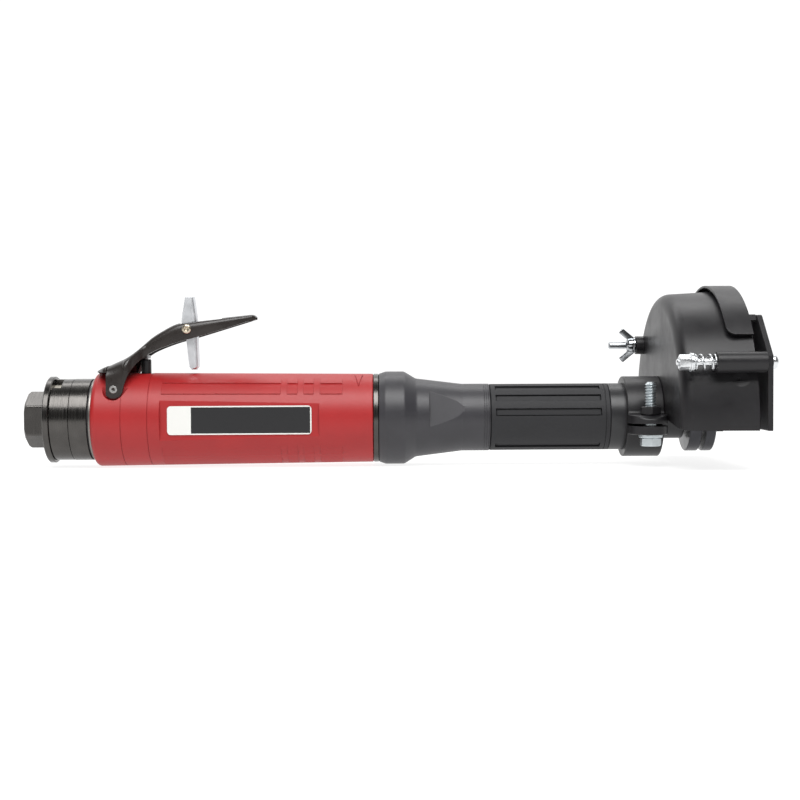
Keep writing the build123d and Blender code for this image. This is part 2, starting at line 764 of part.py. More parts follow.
# Throttle lever: pressed channel with two ears, a bridge pad for the plunger and a lock slot
with BuildPart() as throttle_lever:
    with BuildSketch(Plane.XZ):
        with BuildLine():
            lever_top(0)
            ThreePointArc(from_pivot(lever_tip), from_pivot(lever_tip_round), from_pivot(lever_nose))
            Line(from_pivot(lever_nose), from_pivot(lever_belly))
            Spline(from_pivot(lever_belly), from_pivot(lever_throat), from_pivot(lever_crotch),
                   tangents=((-10, -3), (-5, -9)))
            ear_front = (pivot_x + lever_ear_radius, pivot_z)
            ear_rear = (pivot_x - lever_ear_radius, pivot_z)
            Line(from_pivot(lever_crotch), ear_front)
            ThreePointArc(ear_front, (pivot_x, pivot_z - lever_ear_radius), ear_rear)
            Polyline(ear_rear, from_pivot(lever_heel), from_pivot(lever_tongue, lever_web),
                     from_pivot(lever_tongue))
        make_face()
    extrude(amount=lever_ear_half_width, both=True)
    extrude(lever_plan(0), amount=lever_top_z, mode=Mode.INTERSECT)
    add(lever_room.part, mode=Mode.SUBTRACT)
    with BuildSketch(Plane.XY.offset(pivot_z + lever_pad_height)):
        with Locations((valve_x, 0)):
            Rectangle(lever_pad_length, 2 * (lever_handle_half_width - lever_wall / 2))
    extrude(amount=lever_pad_thickness)
    with BuildSketch(Plane.XY.offset(rivet_z)):
        with Locations((rivet_x + (lock_slot_front - lock_slot_rear) / 2, 0)):
            Rectangle(lock_slot_front + lock_slot_rear, 2 * (lock_half_width + face_gap))
    extrude(amount=lever_top_z, mode=Mode.SUBTRACT)
    cross_bar(lever_ear_half_width, pivot_x, pivot_z, lever_pin_radius + run_gap, mode=Mode.SUBTRACT)
    cross_bar(lever_handle_half_width, rivet_x, rivet_z, lock_rivet_radius + fit_gap, mode=Mode.SUBTRACT)
throttle_lever.part.label = "throttle_lever"
export_step(throttle_lever.part, "parts/throttle_lever.step")


def from_rivet(offset, inset=0):
    """The (x, z) of a lock-off lever point that is given from its rivet, drawn back by an inset."""
    return (rivet_x + offset[0] - inset, rivet_z + offset[1])


def lock_outline(inset):
    """The lock-off lever seen from the side, as a face: a tapered upper and lower arm."""
    top_rear = from_rivet((lock_top[0], lock_top[2]))
    top_front = from_rivet((lock_top[1], lock_top[2]), inset)
    tip_front = from_rivet(lock_tip_front, inset)
    tip_rear = from_rivet(lock_tip_rear)
    with BuildSketch(Plane.XZ) as side:
        with BuildLine():
            Polyline(top_rear, top_front, from_rivet(lock_hip_front, inset), tip_front)
            ThreePointArc(tip_front, from_rivet(lock_tip_end, inset), tip_rear)
            Polyline(tip_rear, from_rivet(lock_hip_rear), from_rivet(lock_waist), top_rear)
        make_face()
    return side.sketch


# Lock-off lever: a folded channel that stands under the throttle lever until it is swung aside
with BuildPart() as lock_lever:
    extrude(lock_outline(0), amount=lock_half_width, both=True)
    extrude(lock_outline(lock_wall), amount=lock_half_width - lock_wall, both=True, mode=Mode.SUBTRACT)
    cross_bar(lock_half_width, rivet_x, rivet_z, lock_rivet_radius + run_gap, mode=Mode.SUBTRACT)
lock_lever.part.label = "lock_lever"
export_step(lock_lever.part, "parts/lock_lever.step")

# Lock rivet: shank through both levers, a head outside each wall
with BuildPart() as lock_rivet:
    cross_bar(lever_handle_half_width + seat_gap, rivet_x, rivet_z, lock_rivet_radius)
    for side in (-1, 1):
        with BuildSketch(Plane.XZ.offset(side * (lever_handle_half_width + seat_gap))):
            with Locations((rivet_x, rivet_z)):
                Circle(lock_rivet_head_radius)
        extrude(amount=side * lock_rivet_head)
lock_rivet.part.label = "lock_rivet"
export_step(lock_rivet.part, "parts/lock_rivet.step")

# Lock spring: a torsion coil on the rivet, inside the lock-off lever
lock_spring_span = 2 * (lock_half_width - lock_wall - lock_spring_end_room)
with BuildPart() as lock_spring:
    coil_spring("lock_spring",
                Plane(origin=(rivet_x, lock_spring_span / 2, rivet_z), x_dir=(1, 0, 0), z_dir=(0, -1, 0)),
                lock_rivet_radius + lock_spring_wire / 2 + 2 * run_gap, lock_spring_span,
                lock_spring_turns, lock_spring_wire)
lock_spring.part.label = "lock_spring"
export_step(lock_spring.part, "parts/lock_spring.step")

# Valve plunger: domed pin that the lever's pad presses
plunger_top_z = pivot_z + lever_pad_height - face_gap
plunger_bottom_z = port_top_z
with BuildPart() as valve_plunger:
    post(plunger_bottom_z, plunger_top_z, valve_x, 0, plunger_radius)
    fillet(valve_plunger.edges().group_by(Axis.Z)[-1], plunger_dome)
valve_plunger.part.label = "valve_plunger"
export_step(valve_plunger.part, "parts/valve_plunger.step")

# Plunger seal: ring at the bottom of the collar's bore
with BuildPart() as plunger_seal:
    post(port_top_z + seat_gap, port_top_z + plunger_seal_height, valve_x, 0, plunger_collar_radius)
    post(port_top_z, port_top_z + plunger_seal_height, valve_x, 0, plunger_radius + run_gap,
         mode=Mode.SUBTRACT)
plunger_seal.part.label = "plunger_seal"
export_step(plunger_seal.part, "parts/plunger_seal.step")

# Plunger collar: guides the plunger out through the housing and the sleeve
plunger_collar_top = housing_radius + plunger_collar_rise
with BuildPart() as plunger_collar:
    post(port_top_z + plunger_seal_height + seat_gap, plunger_collar_top, valve_x, 0, plunger_collar_radius)
    post(port_top_z, plunger_collar_top, valve_x, 0, plunger_radius + run_gap, mode=Mode.SUBTRACT)
plunger_collar.part.label = "plunger_collar"
export_step(plunger_collar.part, "parts/plunger_collar.step")

# Throttle valve: head under the seat, stem up to the plunger
valve_head_top_z = valve_seat_z - seat_gap
valve_head_bottom_z = valve_head_top_z - valve_head_height
with BuildPart() as throttle_valve:
    post(valve_head_bottom_z, valve_head_top_z, valve_x, 0, valve_head_radius)
    post(valve_head_top_z, plunger_bottom_z - seat_gap, valve_x, 0, valve_stem_radius)
throttle_valve.part.label = "throttle_valve"
export_step(throttle_valve.part, "parts/throttle_valve.step")

# Valve cap: plug that closes the valve bore and carries the spring
cap_bottom_z = -sqrt(housing_radius ** 2 - valve_bore ** 2)
cap_top_z = cap_bottom_z + valve_cap_height
with BuildPart() as valve_cap:
    post(cap_bottom_z, cap_top_z, valve_x, 0, valve_bore - fit_gap)
valve_cap.part.label = "valve_cap"
export_step(valve_cap.part, "parts/valve_cap.step")

# Valve spring: presses the valve head on its seat
valve_spring_length = valve_head_bottom_z - cap_top_z - 2 * seat_gap - valve_spring_wire
with BuildPart() as valve_spring:
    coil_spring("valve_spring",
                Plane((valve_x, 0, cap_top_z + seat_gap + valve_spring_wire / 2)),
                valve_spring_radius, valve_spring_length, valve_spring_turns, valve_spring_wire)
valve_spring.part.label = "valve_spring"
export_step(valve_spring.part, "parts/valve_spring.step")


def ball_bearing(prefix, start_x, bore, radius):
    """Outer race, inner race and balls of a deep-groove bearing, each written as its own piece."""
    race = (radius - bore) * bearing_race_share
    pitch = (radius + bore) / 2
    ball_radius = (radius - bore) * bearing_ball_share
    mid_x = start_x + bearing_width / 2
    with BuildSketch(Plane.XZ) as groove:
        with Locations((mid_x, pitch)):
            Circle(ball_radius + run_gap)
    with BuildPart() as outer_race:
        tube(start_x, start_x + bearing_width, radius - race, radius)
        revolve(groove.sketch, axis=Axis.X, mode=Mode.SUBTRACT)
    outer_race.part.label = prefix + "_bearing_outer"
    export_step(outer_race.part, "parts/" + prefix + "_bearing_outer.step")
    with BuildPart() as inner_race:
        tube(start_x, start_x + bearing_width, bore, bore + race)
        revolve(groove.sketch, axis=Axis.X, mode=Mode.SUBTRACT)
    inner_race.part.label = prefix + "_bearing_inner"
    export_step(inner_race.part, "parts/" + prefix + "_bearing_inner.step")
    with BuildPart() as balls:
        with Locations(Plane.YZ.offset(mid_x)):
            with PolarLocations(pitch, bearing_ball_count):
                Sphere(ball_radius)
    balls.part.label = prefix + "_bearing_balls"
    export_step(balls.part, "parts/" + prefix + "_bearing_balls.step")


# Motor bearings, one in each end plate, and the spindle bearing in the extension
rear_bearing_x = motor_start_x + (end_plate_length - bearing_width) / 2
front_bearing_x = cylinder_end_x + (end_plate_length - bearing_width) / 2
spindle_bearing_x = tube_end_x - cap_spigot_length - bearing_width
ball_bearing("rear", rear_bearing_x, rotor_rear_journal + fit_gap, rear_bearing_radius)
ball_bearing("front", front_bearing_x, rotor_front_journal + fit_gap, front_bearing_radius)
ball_bearing("spindle", spindle_bearing_x, rotor_front_journal + fit_gap, front_bearing_radius)

# End plates: close the motor cylinder and hold the motor bearings
plate_radius = motor_bore - fit_gap
with BuildPart() as rear_end_plate:
    tube(motor_start_x + seat_gap, cylinder_start_x - seat_gap, rotor_rear_journal + face_gap, plate_radius)
    tube(motor_start_x, rear_bearing_x + bearing_width, 0, rear_bearing_radius + fit_gap, mode=Mode.SUBTRACT)
    for side in (-1, 1):
        rod(motor_start_x, cylinder_start_x, side * exhaust_port_y, exhaust_port_z,
            exhaust_port_radius / 2, mode=Mode.SUBTRACT)
rear_end_plate.part.label = "rear_end_plate"
export_step(rear_end_plate.part, "parts/rear_end_plate.step")

with BuildPart() as front_end_plate:
    tube(cylinder_end_x + seat_gap, motor_end_x - seat_gap, rotor_front_journal + face_gap, plate_radius)
    tube(front_bearing_x, motor_end_x, 0, front_bearing_radius + fit_gap, mode=Mode.SUBTRACT)
front_end_plate.part.label = "front_end_plate"
export_step(front_end_plate.part, "parts/front_end_plate.step")

# Motor cylinder: liner whose bore sits below the rotor's axis
with BuildPart() as motor_cylinder:
    tube(cylinder_start_x, cylinder_end_x, 0, plate_radius)
    rod(cylinder_start_x, cylinder_end_x, 0, -cylinder_offset, cylinder_bore, mode=Mode.SUBTRACT)
motor_cylinder.part.label = "motor_cylinder"
export_step(motor_cylinder.part, "parts/motor_cylinder.step")

# Rotor: slotted drum with a journal at each end
rotor_start_x = cylinder_start_x + face_gap
rotor_end_x = cylinder_end_x - face_gap
rotor_nose_x = motor_end_x + coupling_overlap
vane_slot = vane_thickness + 2 * fit_gap
vane_floor = rotor_radius - vane_height - face_gap
with BuildPart() as rotor:
    tube(rotor_start_x, rotor_end_x, 0, rotor_radius)
    tube(rear_bearing_x, rotor_start_x, 0, rotor_rear_journal)
    tube(rotor_end_x, rotor_nose_x, 0, rotor_front_journal)
    with BuildSketch(Plane.YZ.offset(rotor_start_x)):
        with PolarLocations(vane_floor + rotor_radius / 2, vane_count):
            Rectangle(rotor_radius, vane_slot)
    extrude(amount=rotor_end_x - rotor_start_x, mode=Mode.SUBTRACT)
rotor.part.label = "rotor"
export_step(rotor.part, "parts/rotor.step")

# Vanes: flat blades, drawn back flush with the rotor
with BuildPart() as rotor_vanes:
    with BuildSketch(Plane.YZ.offset(rotor_start_x)):
        with PolarLocations(vane_floor + seat_gap + vane_height / 2, vane_count):
            Rectangle(vane_height, vane_thickness)
    extrude(amount=rotor_end_x - rotor_start_x)
rotor_vanes.part.label = "rotor_vanes"
export_step(rotor_vanes.part, "parts/rotor_vanes.step")

# Drive coupling: joins the rotor to the extension spindle
coupling_start_x = rotor_nose_x - coupling_overlap + face_gap
coupling_end_x = coupling_start_x + coupling_length
with BuildPart() as drive_coupling:
    tube(coupling_start_x, coupling_end_x, rotor_front_journal + fit_gap, coupling_radius)
drive_coupling.part.label = "drive_coupling"
export_step(drive_coupling.part, "parts/drive_coupling.step")

# Nose housing: bulged shoulder, taper with two wrench flats, socket for the extension tube
with BuildPart() as nose_housing:
    with BuildSketch(Plane.XZ):
        with BuildLine():
            rear_rim = (nose_start_x, lock_ring_radius)
            shoulder_start = (nose_start_x + nose_shoulder_start, nose_shoulder_radius)
            shoulder_end = (nose_start_x + nose_shoulder_end, nose_shoulder_radius)
            neck = (nose_start_x + nose_neck_start, nose_neck_radius)
            taper_end = (nose_start_x + nose_taper_end, nose_end_radius)
            Polyline(
                rear_rim,
                shoulder_start,
                shoulder_end,
                neck,
                taper_end,
                (nose_end_x, nose_end_radius),
                (nose_end_x, tube_radius + fit_gap),
                (tube_start_x, tube_radius + fit_gap),
                (tube_start_x, nose_cavity_radius),
                (motor_end_x, nose_cavity_radius),
                (motor_end_x, motor_bore - fit_gap),
                (nose_start_x, motor_bore - fit_gap),
                rear_rim,
            )
        make_face()
    revolve(axis=Axis.X)
    fillet(rims(nose_housing, nose_shoulder_radius), nose_rounding)
    fillet(rims(nose_housing, nose_neck_radius), nose_rounding)
    for turn in (0, 180):
        reach = near_angle(nose_end_radius - nose_flat_depth, nose_flat_tilt + turn)
        out = Vector(0, *near_angle(1, nose_flat_tilt + turn))
        along = Vector(cos(radians(nose_flat_slope)), 0, 0) + out * sin(radians(nose_flat_slope))
        facing = out * cos(radians(nose_flat_slope)) - Vector(sin(radians(nose_flat_slope)), 0, 0)
        with BuildSketch(Plane(origin=(nose_start_x + nose_flat_end, *reach), x_dir=along, z_dir=facing)):
            with Locations(((nose_flat_start - nose_flat_end) / 2, 0)):
                Rectangle(nose_flat_end - nose_flat_start, 2 * nose_shoulder_radius)
        extrude(amount=nose_shoulder_radius, mode=Mode.SUBTRACT)
    for inset in nose_ring_insets:
        ring_x = nose_end_x - inset
        tube(ring_x - nose_ring_width, ring_x, nose_end_radius - nose_ring_depth, nose_end_radius + face_gap,
             mode=Mode.SUBTRACT)
nose_housing.part.label = "nose_housing"
export_step(nose_housing.part, "parts/nose_housing.step")

# Extension tube: carries the grip, then a thicker end for the guard collar and the bearing
with BuildPart() as extension_tube:
    turned(
        (tube_start_x, tube_bore),
        (tube_start_x, tube_radius),
        (grip_end_x, tube_radius),
        (grip_end_x, collar_tube_radius),
        (tube_end_x, collar_tube_radius),
        (tube_end_x, front_bearing_radius + fit_gap),
        (spindle_bearing_x, front_bearing_radius + fit_gap),
        (spindle_bearing_x, tube_bore),
    )
extension_tube.part.label = "extension_tube"
export_step(extension_tube.part, "parts/extension_tube.step")

# Extension grip: moulded sleeve with long slots in groups of three, each with a pad on its floor
with BuildPart() as extension_grip:
    tube(grip_start_x, grip_end_x - seat_gap, tube_radius + fit_gap, grip_radius)
    chamfer(rims(extension_grip, grip_radius), flange_chamfer)
    slot_start_x = grip_start_x + grip_slot_rear_margin
    slot_length = grip_length - grip_slot_rear_margin - grip_slot_front_margin
    slot_firsts = [180 - grip_slot_angle + shift for shift in (-grip_slot_pitch, 0, grip_slot_pitch)]
    with BuildSketch(Plane.YZ.offset(slot_start_x)):
        for first in slot_firsts:
            with PolarLocations(grip_radius, grip_slot_groups, start_angle=first):
                Rectangle(2 * (grip_slot_depth + grip_pad_drop), grip_slot_width)
    extrude(amount=slot_length, mode=Mode.SUBTRACT)
    pad_middle = grip_radius - grip_slot_depth - grip_pad_drop
    with BuildSketch(Plane.YZ.offset(slot_start_x + grip_pad_margin)):
        for first in slot_firsts:
            with PolarLocations(pad_middle, grip_slot_groups, start_angle=first):
                Rectangle(2 * grip_pad_drop, grip_slot_width - 2 * grip_pad_margin)
    extrude(amount=slot_length - 2 * grip_pad_margin)
    grip_line_x = grip_end_x - grip_line_inset
    tube(grip_line_x - grip_line_width, grip_line_x, grip_radius - grip_line_depth, grip_radius + face_gap,
         mode=Mode.SUBTRACT)
extension_grip.part.label = "extension_grip"
export_step(extension_grip.part, "parts/extension_grip.step")

# Spindle: from the coupling through the extension to the wheel thread
cap_end_x = tube_end_x + bearing_cap_nose
flange_start_x = cap_end_x + rear_flange_gap
wheel_rear_x = flange_start_x + rear_flange_length
wheel_front_x = wheel_rear_x + wheel_gap
nut_start_x = wheel_front_x + front_flange_length
nut_end_x = nut_start_x + spindle_nut_length
with BuildPart() as spindle:
    tube(rotor_nose_x + face_gap, coupling_end_x, 0, rotor_front_journal)
    tube(coupling_end_x, spindle_bearing_x - seat_gap, 0, spindle_radius)
    tube(spindle_bearing_x - seat_gap, wheel_rear_x - wheel_flange_relief, 0, rotor_front_journal)
    tube(wheel_rear_x - wheel_flange_relief, nut_end_x + spindle_end, 0, spindle_thread_radius)
spindle.part.label = "spindle"
export_step(spindle.part, "parts/spindle.step")

# Bearing cap: screwed into the tube end, holds the spindle bearing
with BuildPart() as bearing_cap:
    turned(
        (spindle_bearing_x + bearing_width + seat_gap, front_bearing_radius - cap_spigot_wall),
        (spindle_bearing_x + bearing_width + seat_gap, front_bearing_radius - fit_gap),
        (tube_end_x, front_bearing_radius - fit_gap),
        (tube_end_x, bearing_cap_radius),
        (cap_end_x, bearing_cap_radius),
        (cap_end_x, hub_radius + face_gap),
        (tube_end_x, hub_radius + face_gap),
        (tube_end_x, front_bearing_radius - cap_spigot_wall),
    )
    chamfer(rims(bearing_cap, bearing_cap_radius).sort_by(Axis.X)[-1], flange_chamfer)
bearing_cap.part.label = "bearing_cap"
export_step(bearing_cap.part, "parts/bearing_cap.step")

# Rear flange: disc that the wheel sits on, with a hub back to the bearing
with BuildPart() as rear_flange:
    turned(
        (spindle_bearing_x + bearing_width + seat_gap, rotor_front_journal + fit_gap),
        (spindle_bearing_x + bearing_width + seat_gap, hub_radius),
        (flange_start_x, hub_radius),
        (flange_start_x, wheel_flange_radius),
        (wheel_rear_x, wheel_flange_radius),
        (wheel_rear_x, wheel_flange_relief_radius),
        (wheel_rear_x - wheel_flange_relief, wheel_flange_relief_radius),
        (wheel_rear_x - wheel_flange_relief, rotor_front_journal + fit_gap),
    )
    chamfer(rims(rear_flange, wheel_flange_radius), flange_chamfer)
rear_flange.part.label = "rear_flange"
export_step(rear_flange.part, "parts/rear_flange.step")

# Front flange: clamps the wheel against the rear flange
with BuildPart() as front_flange:
    turned(
        (wheel_front_x, wheel_flange_radius),
        (nut_start_x, wheel_flange_radius),
        (nut_start_x, spindle_thread_radius + fit_gap),
        (wheel_front_x + wheel_flange_relief, spindle_thread_radius + fit_gap),
        (wheel_front_x + wheel_flange_relief, wheel_flange_relief_radius),
        (wheel_front_x, wheel_flange_relief_radius),
    )
    chamfer(rims(front_flange, wheel_flange_radius), flange_chamfer)
front_flange.part.label = "front_flange"
export_step(front_flange.part, "parts/front_flange.step")

# Spindle nut
with BuildPart() as spindle_nut:
    with BuildSketch(Plane.YZ.offset(nut_start_x + seat_gap)):
        RegularPolygon(spindle_nut_flats / 2, 6, major_radius=False)
        Circle(spindle_thread_radius + fit_gap, mode=Mode.SUBTRACT)
    extrude(amount=spindle_nut_length)
spindle_nut.part.label = "spindle_nut"
export_step(spindle_nut.part, "parts/spindle_nut.step")


def guard_radius(x):
    """The drum's outer radius: it widens evenly from rear to front."""
    share = (x - guard_start_x) / guard_length
    return guard_rear_radius + (guard_front_radius - guard_rear_radius) * share


# Room inside the guard drum
room_start_x = guard_start_x + guard_wall
with BuildPart() as guard_room:
    turned((room_start_x, 0), (room_start_x, guard_radius(room_start_x) - guard_wall),
           (guard_end_x, guard_front_radius - guard_wall), (guard_end_x, 0))
    fillet(guard_room.edges().filter_by(GeomType.CIRCLE).sort_by(Axis.X)[0], guard_rounding - guard_wall)

# Guard drum: pressed half drum, open at the front and below
with BuildPart() as guard_drum:
    turned((guard_start_x, 0), (guard_start_x, guard_rear_radius),
           (guard_end_x, guard_front_radius), (guard_end_x, 0))
    fillet(guard_drum.edges().filter_by(GeomType.CIRCLE).sort_by(Axis.X)[0], guard_rounding)
    add(guard_room.part, mode=Mode.SUBTRACT)
    tube(guard_start_x, room_start_x, 0, guard_hole_radius, mode=Mode.SUBTRACT)
    with BuildSketch(Plane.YZ.offset(guard_start_x)):
        with Locations((0, guard_cut_height - guard_front_radius)):
            Rectangle(4 * guard_front_radius, 2 * guard_front_radius)
    extrude(amount=guard_length, mode=Mode.SUBTRACT)
    with BuildSketch(Plane.YZ.offset(guard_start_x)):
        with BuildLine():
            Polyline((-guard_rear_radius, guard_cut_height), (-guard_arch_half_width, 0),
                     (guard_arch_half_width, 0), (guard_rear_radius, guard_cut_height), close=True)
        make_face()
    extrude(amount=guard_wall, mode=Mode.SUBTRACT)
    rod(guard_start_x, room_start_x, latch_y, latch_z, latch_stud_radius + 2 * run_gap, mode=Mode.SUBTRACT)
    dimple_reach = guard_radius(guard_end_x - drum_hole_inset) + drum_dimple_radius - drum_dimple_depth
    with Locations((guard_end_x - drum_hole_inset, *near_angle(dimple_reach, drum_hole_angle))):
        Sphere(drum_dimple_radius, mode=Mode.SUBTRACT)
    hole_floor = guard_radius(guard_end_x - drum_hole_inset) - drum_hole_depth
    hole_y, hole_z = near_angle(hole_floor, drum_hole_angle)
    with BuildSketch(Plane(origin=(guard_end_x - drum_hole_inset, hole_y, hole_z), x_dir=(1, 0, 0),
                           z_dir=(0, hole_y, hole_z))):
        Circle(drum_hole_radius)
    extrude(amount=guard_front_radius, mode=Mode.SUBTRACT)
guard_drum.part.label = "guard_drum"
export_step(guard_drum.part, "parts/guard_drum.step")

# Guard collar: split clamp on the extension tube, two ears on the near side
collar_start_x = guard_start_x - collar_length
collar_mid_x = guard_start_x - collar_length / 2
clamp_x = collar_mid_x + clamp_bolt_offset
slit_top_z = collar_slit_height + collar_slit / 2
slit_bottom_z = collar_slit_height - collar_slit / 2
ear_top_z = slit_top_z + ear_thickness
ear_bottom_z = slit_bottom_z - ear_thickness
collar_bore = collar_tube_radius + run_gap
with BuildPart() as guard_collar:
    with BuildSketch(Plane.YZ.offset(collar_start_x)):
        with BuildLine():
            brow = (ear_brow - ear_reach, ear_top_z)
            edge = (-ear_reach, ear_top_z - ear_drop)
            TangentArc(brow, edge, tangent=(-1, 0))
            Polyline(edge, (-ear_reach, ear_bottom_z), (0, ear_bottom_z), (0, ear_top_z), brow)
        make_face()
    extrude(amount=collar_length)
    fillet(guard_collar.edges().filter_by(Axis.Z).group_by(Axis.Y)[0], ear_corner)
    tube(collar_start_x, guard_start_x, 0, collar_radius)
    band_joints = guard_collar.edges().filter_by(Axis.X).filter_by(
        lambda edge: edge.center().Y < -collar_bore
        and abs(hypot(edge.center().Y, edge.center().Z) - collar_radius) < seat_gap)
    fillet(band_joints, collar_rounding)
    chamfer(guard_collar.faces().sort_by(Axis.X)[0].outer_wire().edges(), collar_edge)
    tube(collar_start_x, guard_start_x, 0, collar_bore, mode=Mode.SUBTRACT)
    with BuildSketch(Plane.XY.offset(slit_bottom_z)):
        with Locations((collar_mid_x, -ear_reach / 2)):
            Rectangle(collar_length, ear_reach)
    extrude(amount=collar_slit, mode=Mode.SUBTRACT)
    post(ear_bottom_z, ear_top_z, clamp_x, -clamp_bolt_reach, clamp_thread_radius + 2 * fit_gap,
         mode=Mode.SUBTRACT)
guard_collar.part.label = "guard_collar"
export_step(guard_collar.part, "parts/guard_collar.step")

# Clamp bolt from below, its washer, and its nut on the upper ear
washer_bottom_z = ear_bottom_z - clamp_washer_height
with BuildPart() as clamp_bolt:
    post(washer_bottom_z - clamp_head_height, clamp_thread_top, clamp_x, -clamp_bolt_reach,
         clamp_thread_radius)
    chamfer(clamp_bolt.edges().group_by(Axis.Z)[-1], flange_chamfer)
    with BuildSketch(Plane.XY.offset(washer_bottom_z - clamp_head_height)):
        with Locations((clamp_x, -clamp_bolt_reach)):
            RegularPolygon(clamp_head_flats / 2, 6, major_radius=False)
    extrude(amount=clamp_head_height)
clamp_bolt.part.label = "clamp_bolt"
export_step(clamp_bolt.part, "parts/clamp_bolt.step")

with BuildPart() as clamp_washer:
    post(washer_bottom_z, ear_bottom_z, clamp_x, -clamp_bolt_reach, clamp_washer_radius)
    post(washer_bottom_z, ear_bottom_z, clamp_x, -clamp_bolt_reach, clamp_thread_radius + 2 * fit_gap,
         mode=Mode.SUBTRACT)
clamp_washer.part.label = "clamp_washer"
export_step(clamp_washer.part, "parts/clamp_washer.step")

with BuildPart() as clamp_nut:
    with BuildSketch(Plane.XY.offset(ear_top_z)):
        with Locations((clamp_x, -clamp_bolt_reach)):
            RegularPolygon(clamp_head_flats / 2, 6, major_radius=False)
            Circle(clamp_thread_radius + fit_gap, mode=Mode.SUBTRACT)
    extrude(amount=clamp_nut_height)
clamp_nut.part.label = "clamp_nut"
export_step(clamp_nut.part, "parts/clamp_nut.step")

# Hinge tube: welded along the near side of the drum, its front end carries the cover
hinge_start_x = cover_start_x - hinge_tube_length
with BuildPart() as hinge_tube:
    rod(hinge_start_x, cover_start_x - seat_gap, hinge_y, hinge_z, hinge_tube_radius)
    chamfer(hinge_tube.edges().group_by(Axis.X)[0], hinge_tube_edge)
    rod(hinge_start_x, cover_start_x, hinge_y, hinge_z, hinge_thread_radius + run_gap, mode=Mode.SUBTRACT)
hinge_tube.part.label = "hinge_tube"
export_step(hinge_tube.part, "parts/hinge_tube.step")

# Hinge spring: keeps the cover drawn back against the tube
spring_end_x = hinge_start_x - seat_gap - hinge_spring_wire / 2
spring_start_x = hinge_start_x - hinge_spring_length + seat_gap + hinge_spring_wire / 2
with BuildPart() as hinge_spring:
    coil_spring("hinge_spring",
                Plane(origin=(spring_start_x, hinge_y, hinge_z), x_dir=(0, 0, 1), z_dir=(1, 0, 0)),
                hinge_spring_radius, spring_end_x - spring_start_x, hinge_spring_turns, hinge_spring_wire)
hinge_spring.part.label = "hinge_spring"
export_step(hinge_spring.part, "parts/hinge_spring.step")

# Hinge washer behind the spring
washer_end_x = hinge_start_x - hinge_spring_length
washer_start_x = washer_end_x - hinge_washer_length
with BuildPart() as hinge_washer:
    rod(washer_start_x, washer_end_x, hinge_y, hinge_z, hinge_washer_radius)
    rod(washer_start_x, washer_end_x, hinge_y, hinge_z, hinge_thread_radius + fit_gap, mode=Mode.SUBTRACT)
hinge_washer.part.label = "hinge_washer"
export_step(hinge_washer.part, "parts/hinge_washer.step")

# Hinge nut with its flange
nut_flange_x = washer_start_x - hinge_nut_flange
hinge_nut_x = nut_flange_x - hinge_nut_length
with BuildPart() as hinge_nut:
    rod(nut_flange_x, washer_start_x, hinge_y, hinge_z, hinge_nut_flange_radius)
    with BuildSketch(Plane.YZ.offset(hinge_nut_x)):
        with Locations((hinge_y, hinge_z)):
            RegularPolygon(hinge_nut_flats / 2, 6, major_radius=False)
    extrude(amount=hinge_nut_length)
    rod(hinge_nut_x, washer_start_x, hinge_y, hinge_z, hinge_thread_radius + fit_gap, mode=Mode.SUBTRACT)
hinge_nut.part.label = "hinge_nut"
export_step(hinge_nut.part, "parts/hinge_nut.step")

# Hinge bolt: through the cover, the tube, the spring, the washer and the nut
with BuildPart() as hinge_bolt:
    rod(hinge_nut_x - hinge_bolt_end, cover_end_x, hinge_y, hinge_z, hinge_thread_radius)
    rod(cover_end_x + seat_gap, cover_end_x + hinge_head_length, hinge_y, hinge_z, hinge_head_radius)
    rod(cover_end_x, cover_end_x + seat_gap, hinge_y, hinge_z, hinge_thread_radius)
    fillet(hinge_bolt.edges().group_by(Axis.X)[-1], hinge_head_length / 2)
hinge_bolt.part.label = "hinge_bolt"
export_step(hinge_bolt.part, "parts/hinge_bolt.step")

# Cover plate: closes the front of the drum and swings up about the hinge bolt
latch_reach = hypot(latch_y - hinge_y, latch_z - hinge_z)
latch_angle = degrees(atan2(latch_z - hinge_z, latch_y - hinge_y))
slot_drop = degrees(atan2(hinge_z - guard_cut_height, latch_y - hinge_y)) + 2 * latch_angle
slot_half = latch_stud_radius + latch_slot_gap
with BuildPart() as cover_plate:
    with BuildSketch(Plane.YZ.offset(cover_start_x)):
        with BuildLine():
            Polyline(
                (-cover_half_width, guard_cut_height),
                (-cover_half_width, cover_shoulder_height),
                (-cover_top_half_width, cover_top_height),
                (cover_top_half_width, cover_top_height),
                (cover_half_width, cover_shoulder_height),
                (cover_half_width, guard_cut_height),
                close=True,
            )
        make_face()
        with BuildLine():
            slot_outer = CenterArc((hinge_y, hinge_z), latch_reach + slot_half, latch_angle, -slot_drop)
            slot_inner = CenterArc((hinge_y, hinge_z), latch_reach - slot_half, latch_angle, -slot_drop)
            Line(slot_outer @ 1, slot_inner @ 1)
            CenterArc((latch_y, latch_z), slot_half, latch_angle, 180)
        make_face(mode=Mode.SUBTRACT)
        with Locations((hinge_y, hinge_z)):
            Circle(hinge_thread_radius + run_gap, mode=Mode.SUBTRACT)
    extrude(amount=cover_thickness)
    fillet(cover_plate.edges().filter_by(Axis.X).group_by(Axis.Z)[-1], cover_top_corner)
    for face in cover_plate.faces().filter_by(Axis.X).sort_by(Axis.X):
        fillet(face.outer_wire().edges(), cover_edge)
cover_plate.part.label = "cover_plate"
export_step(cover_plate.part, "parts/cover_plate.step")

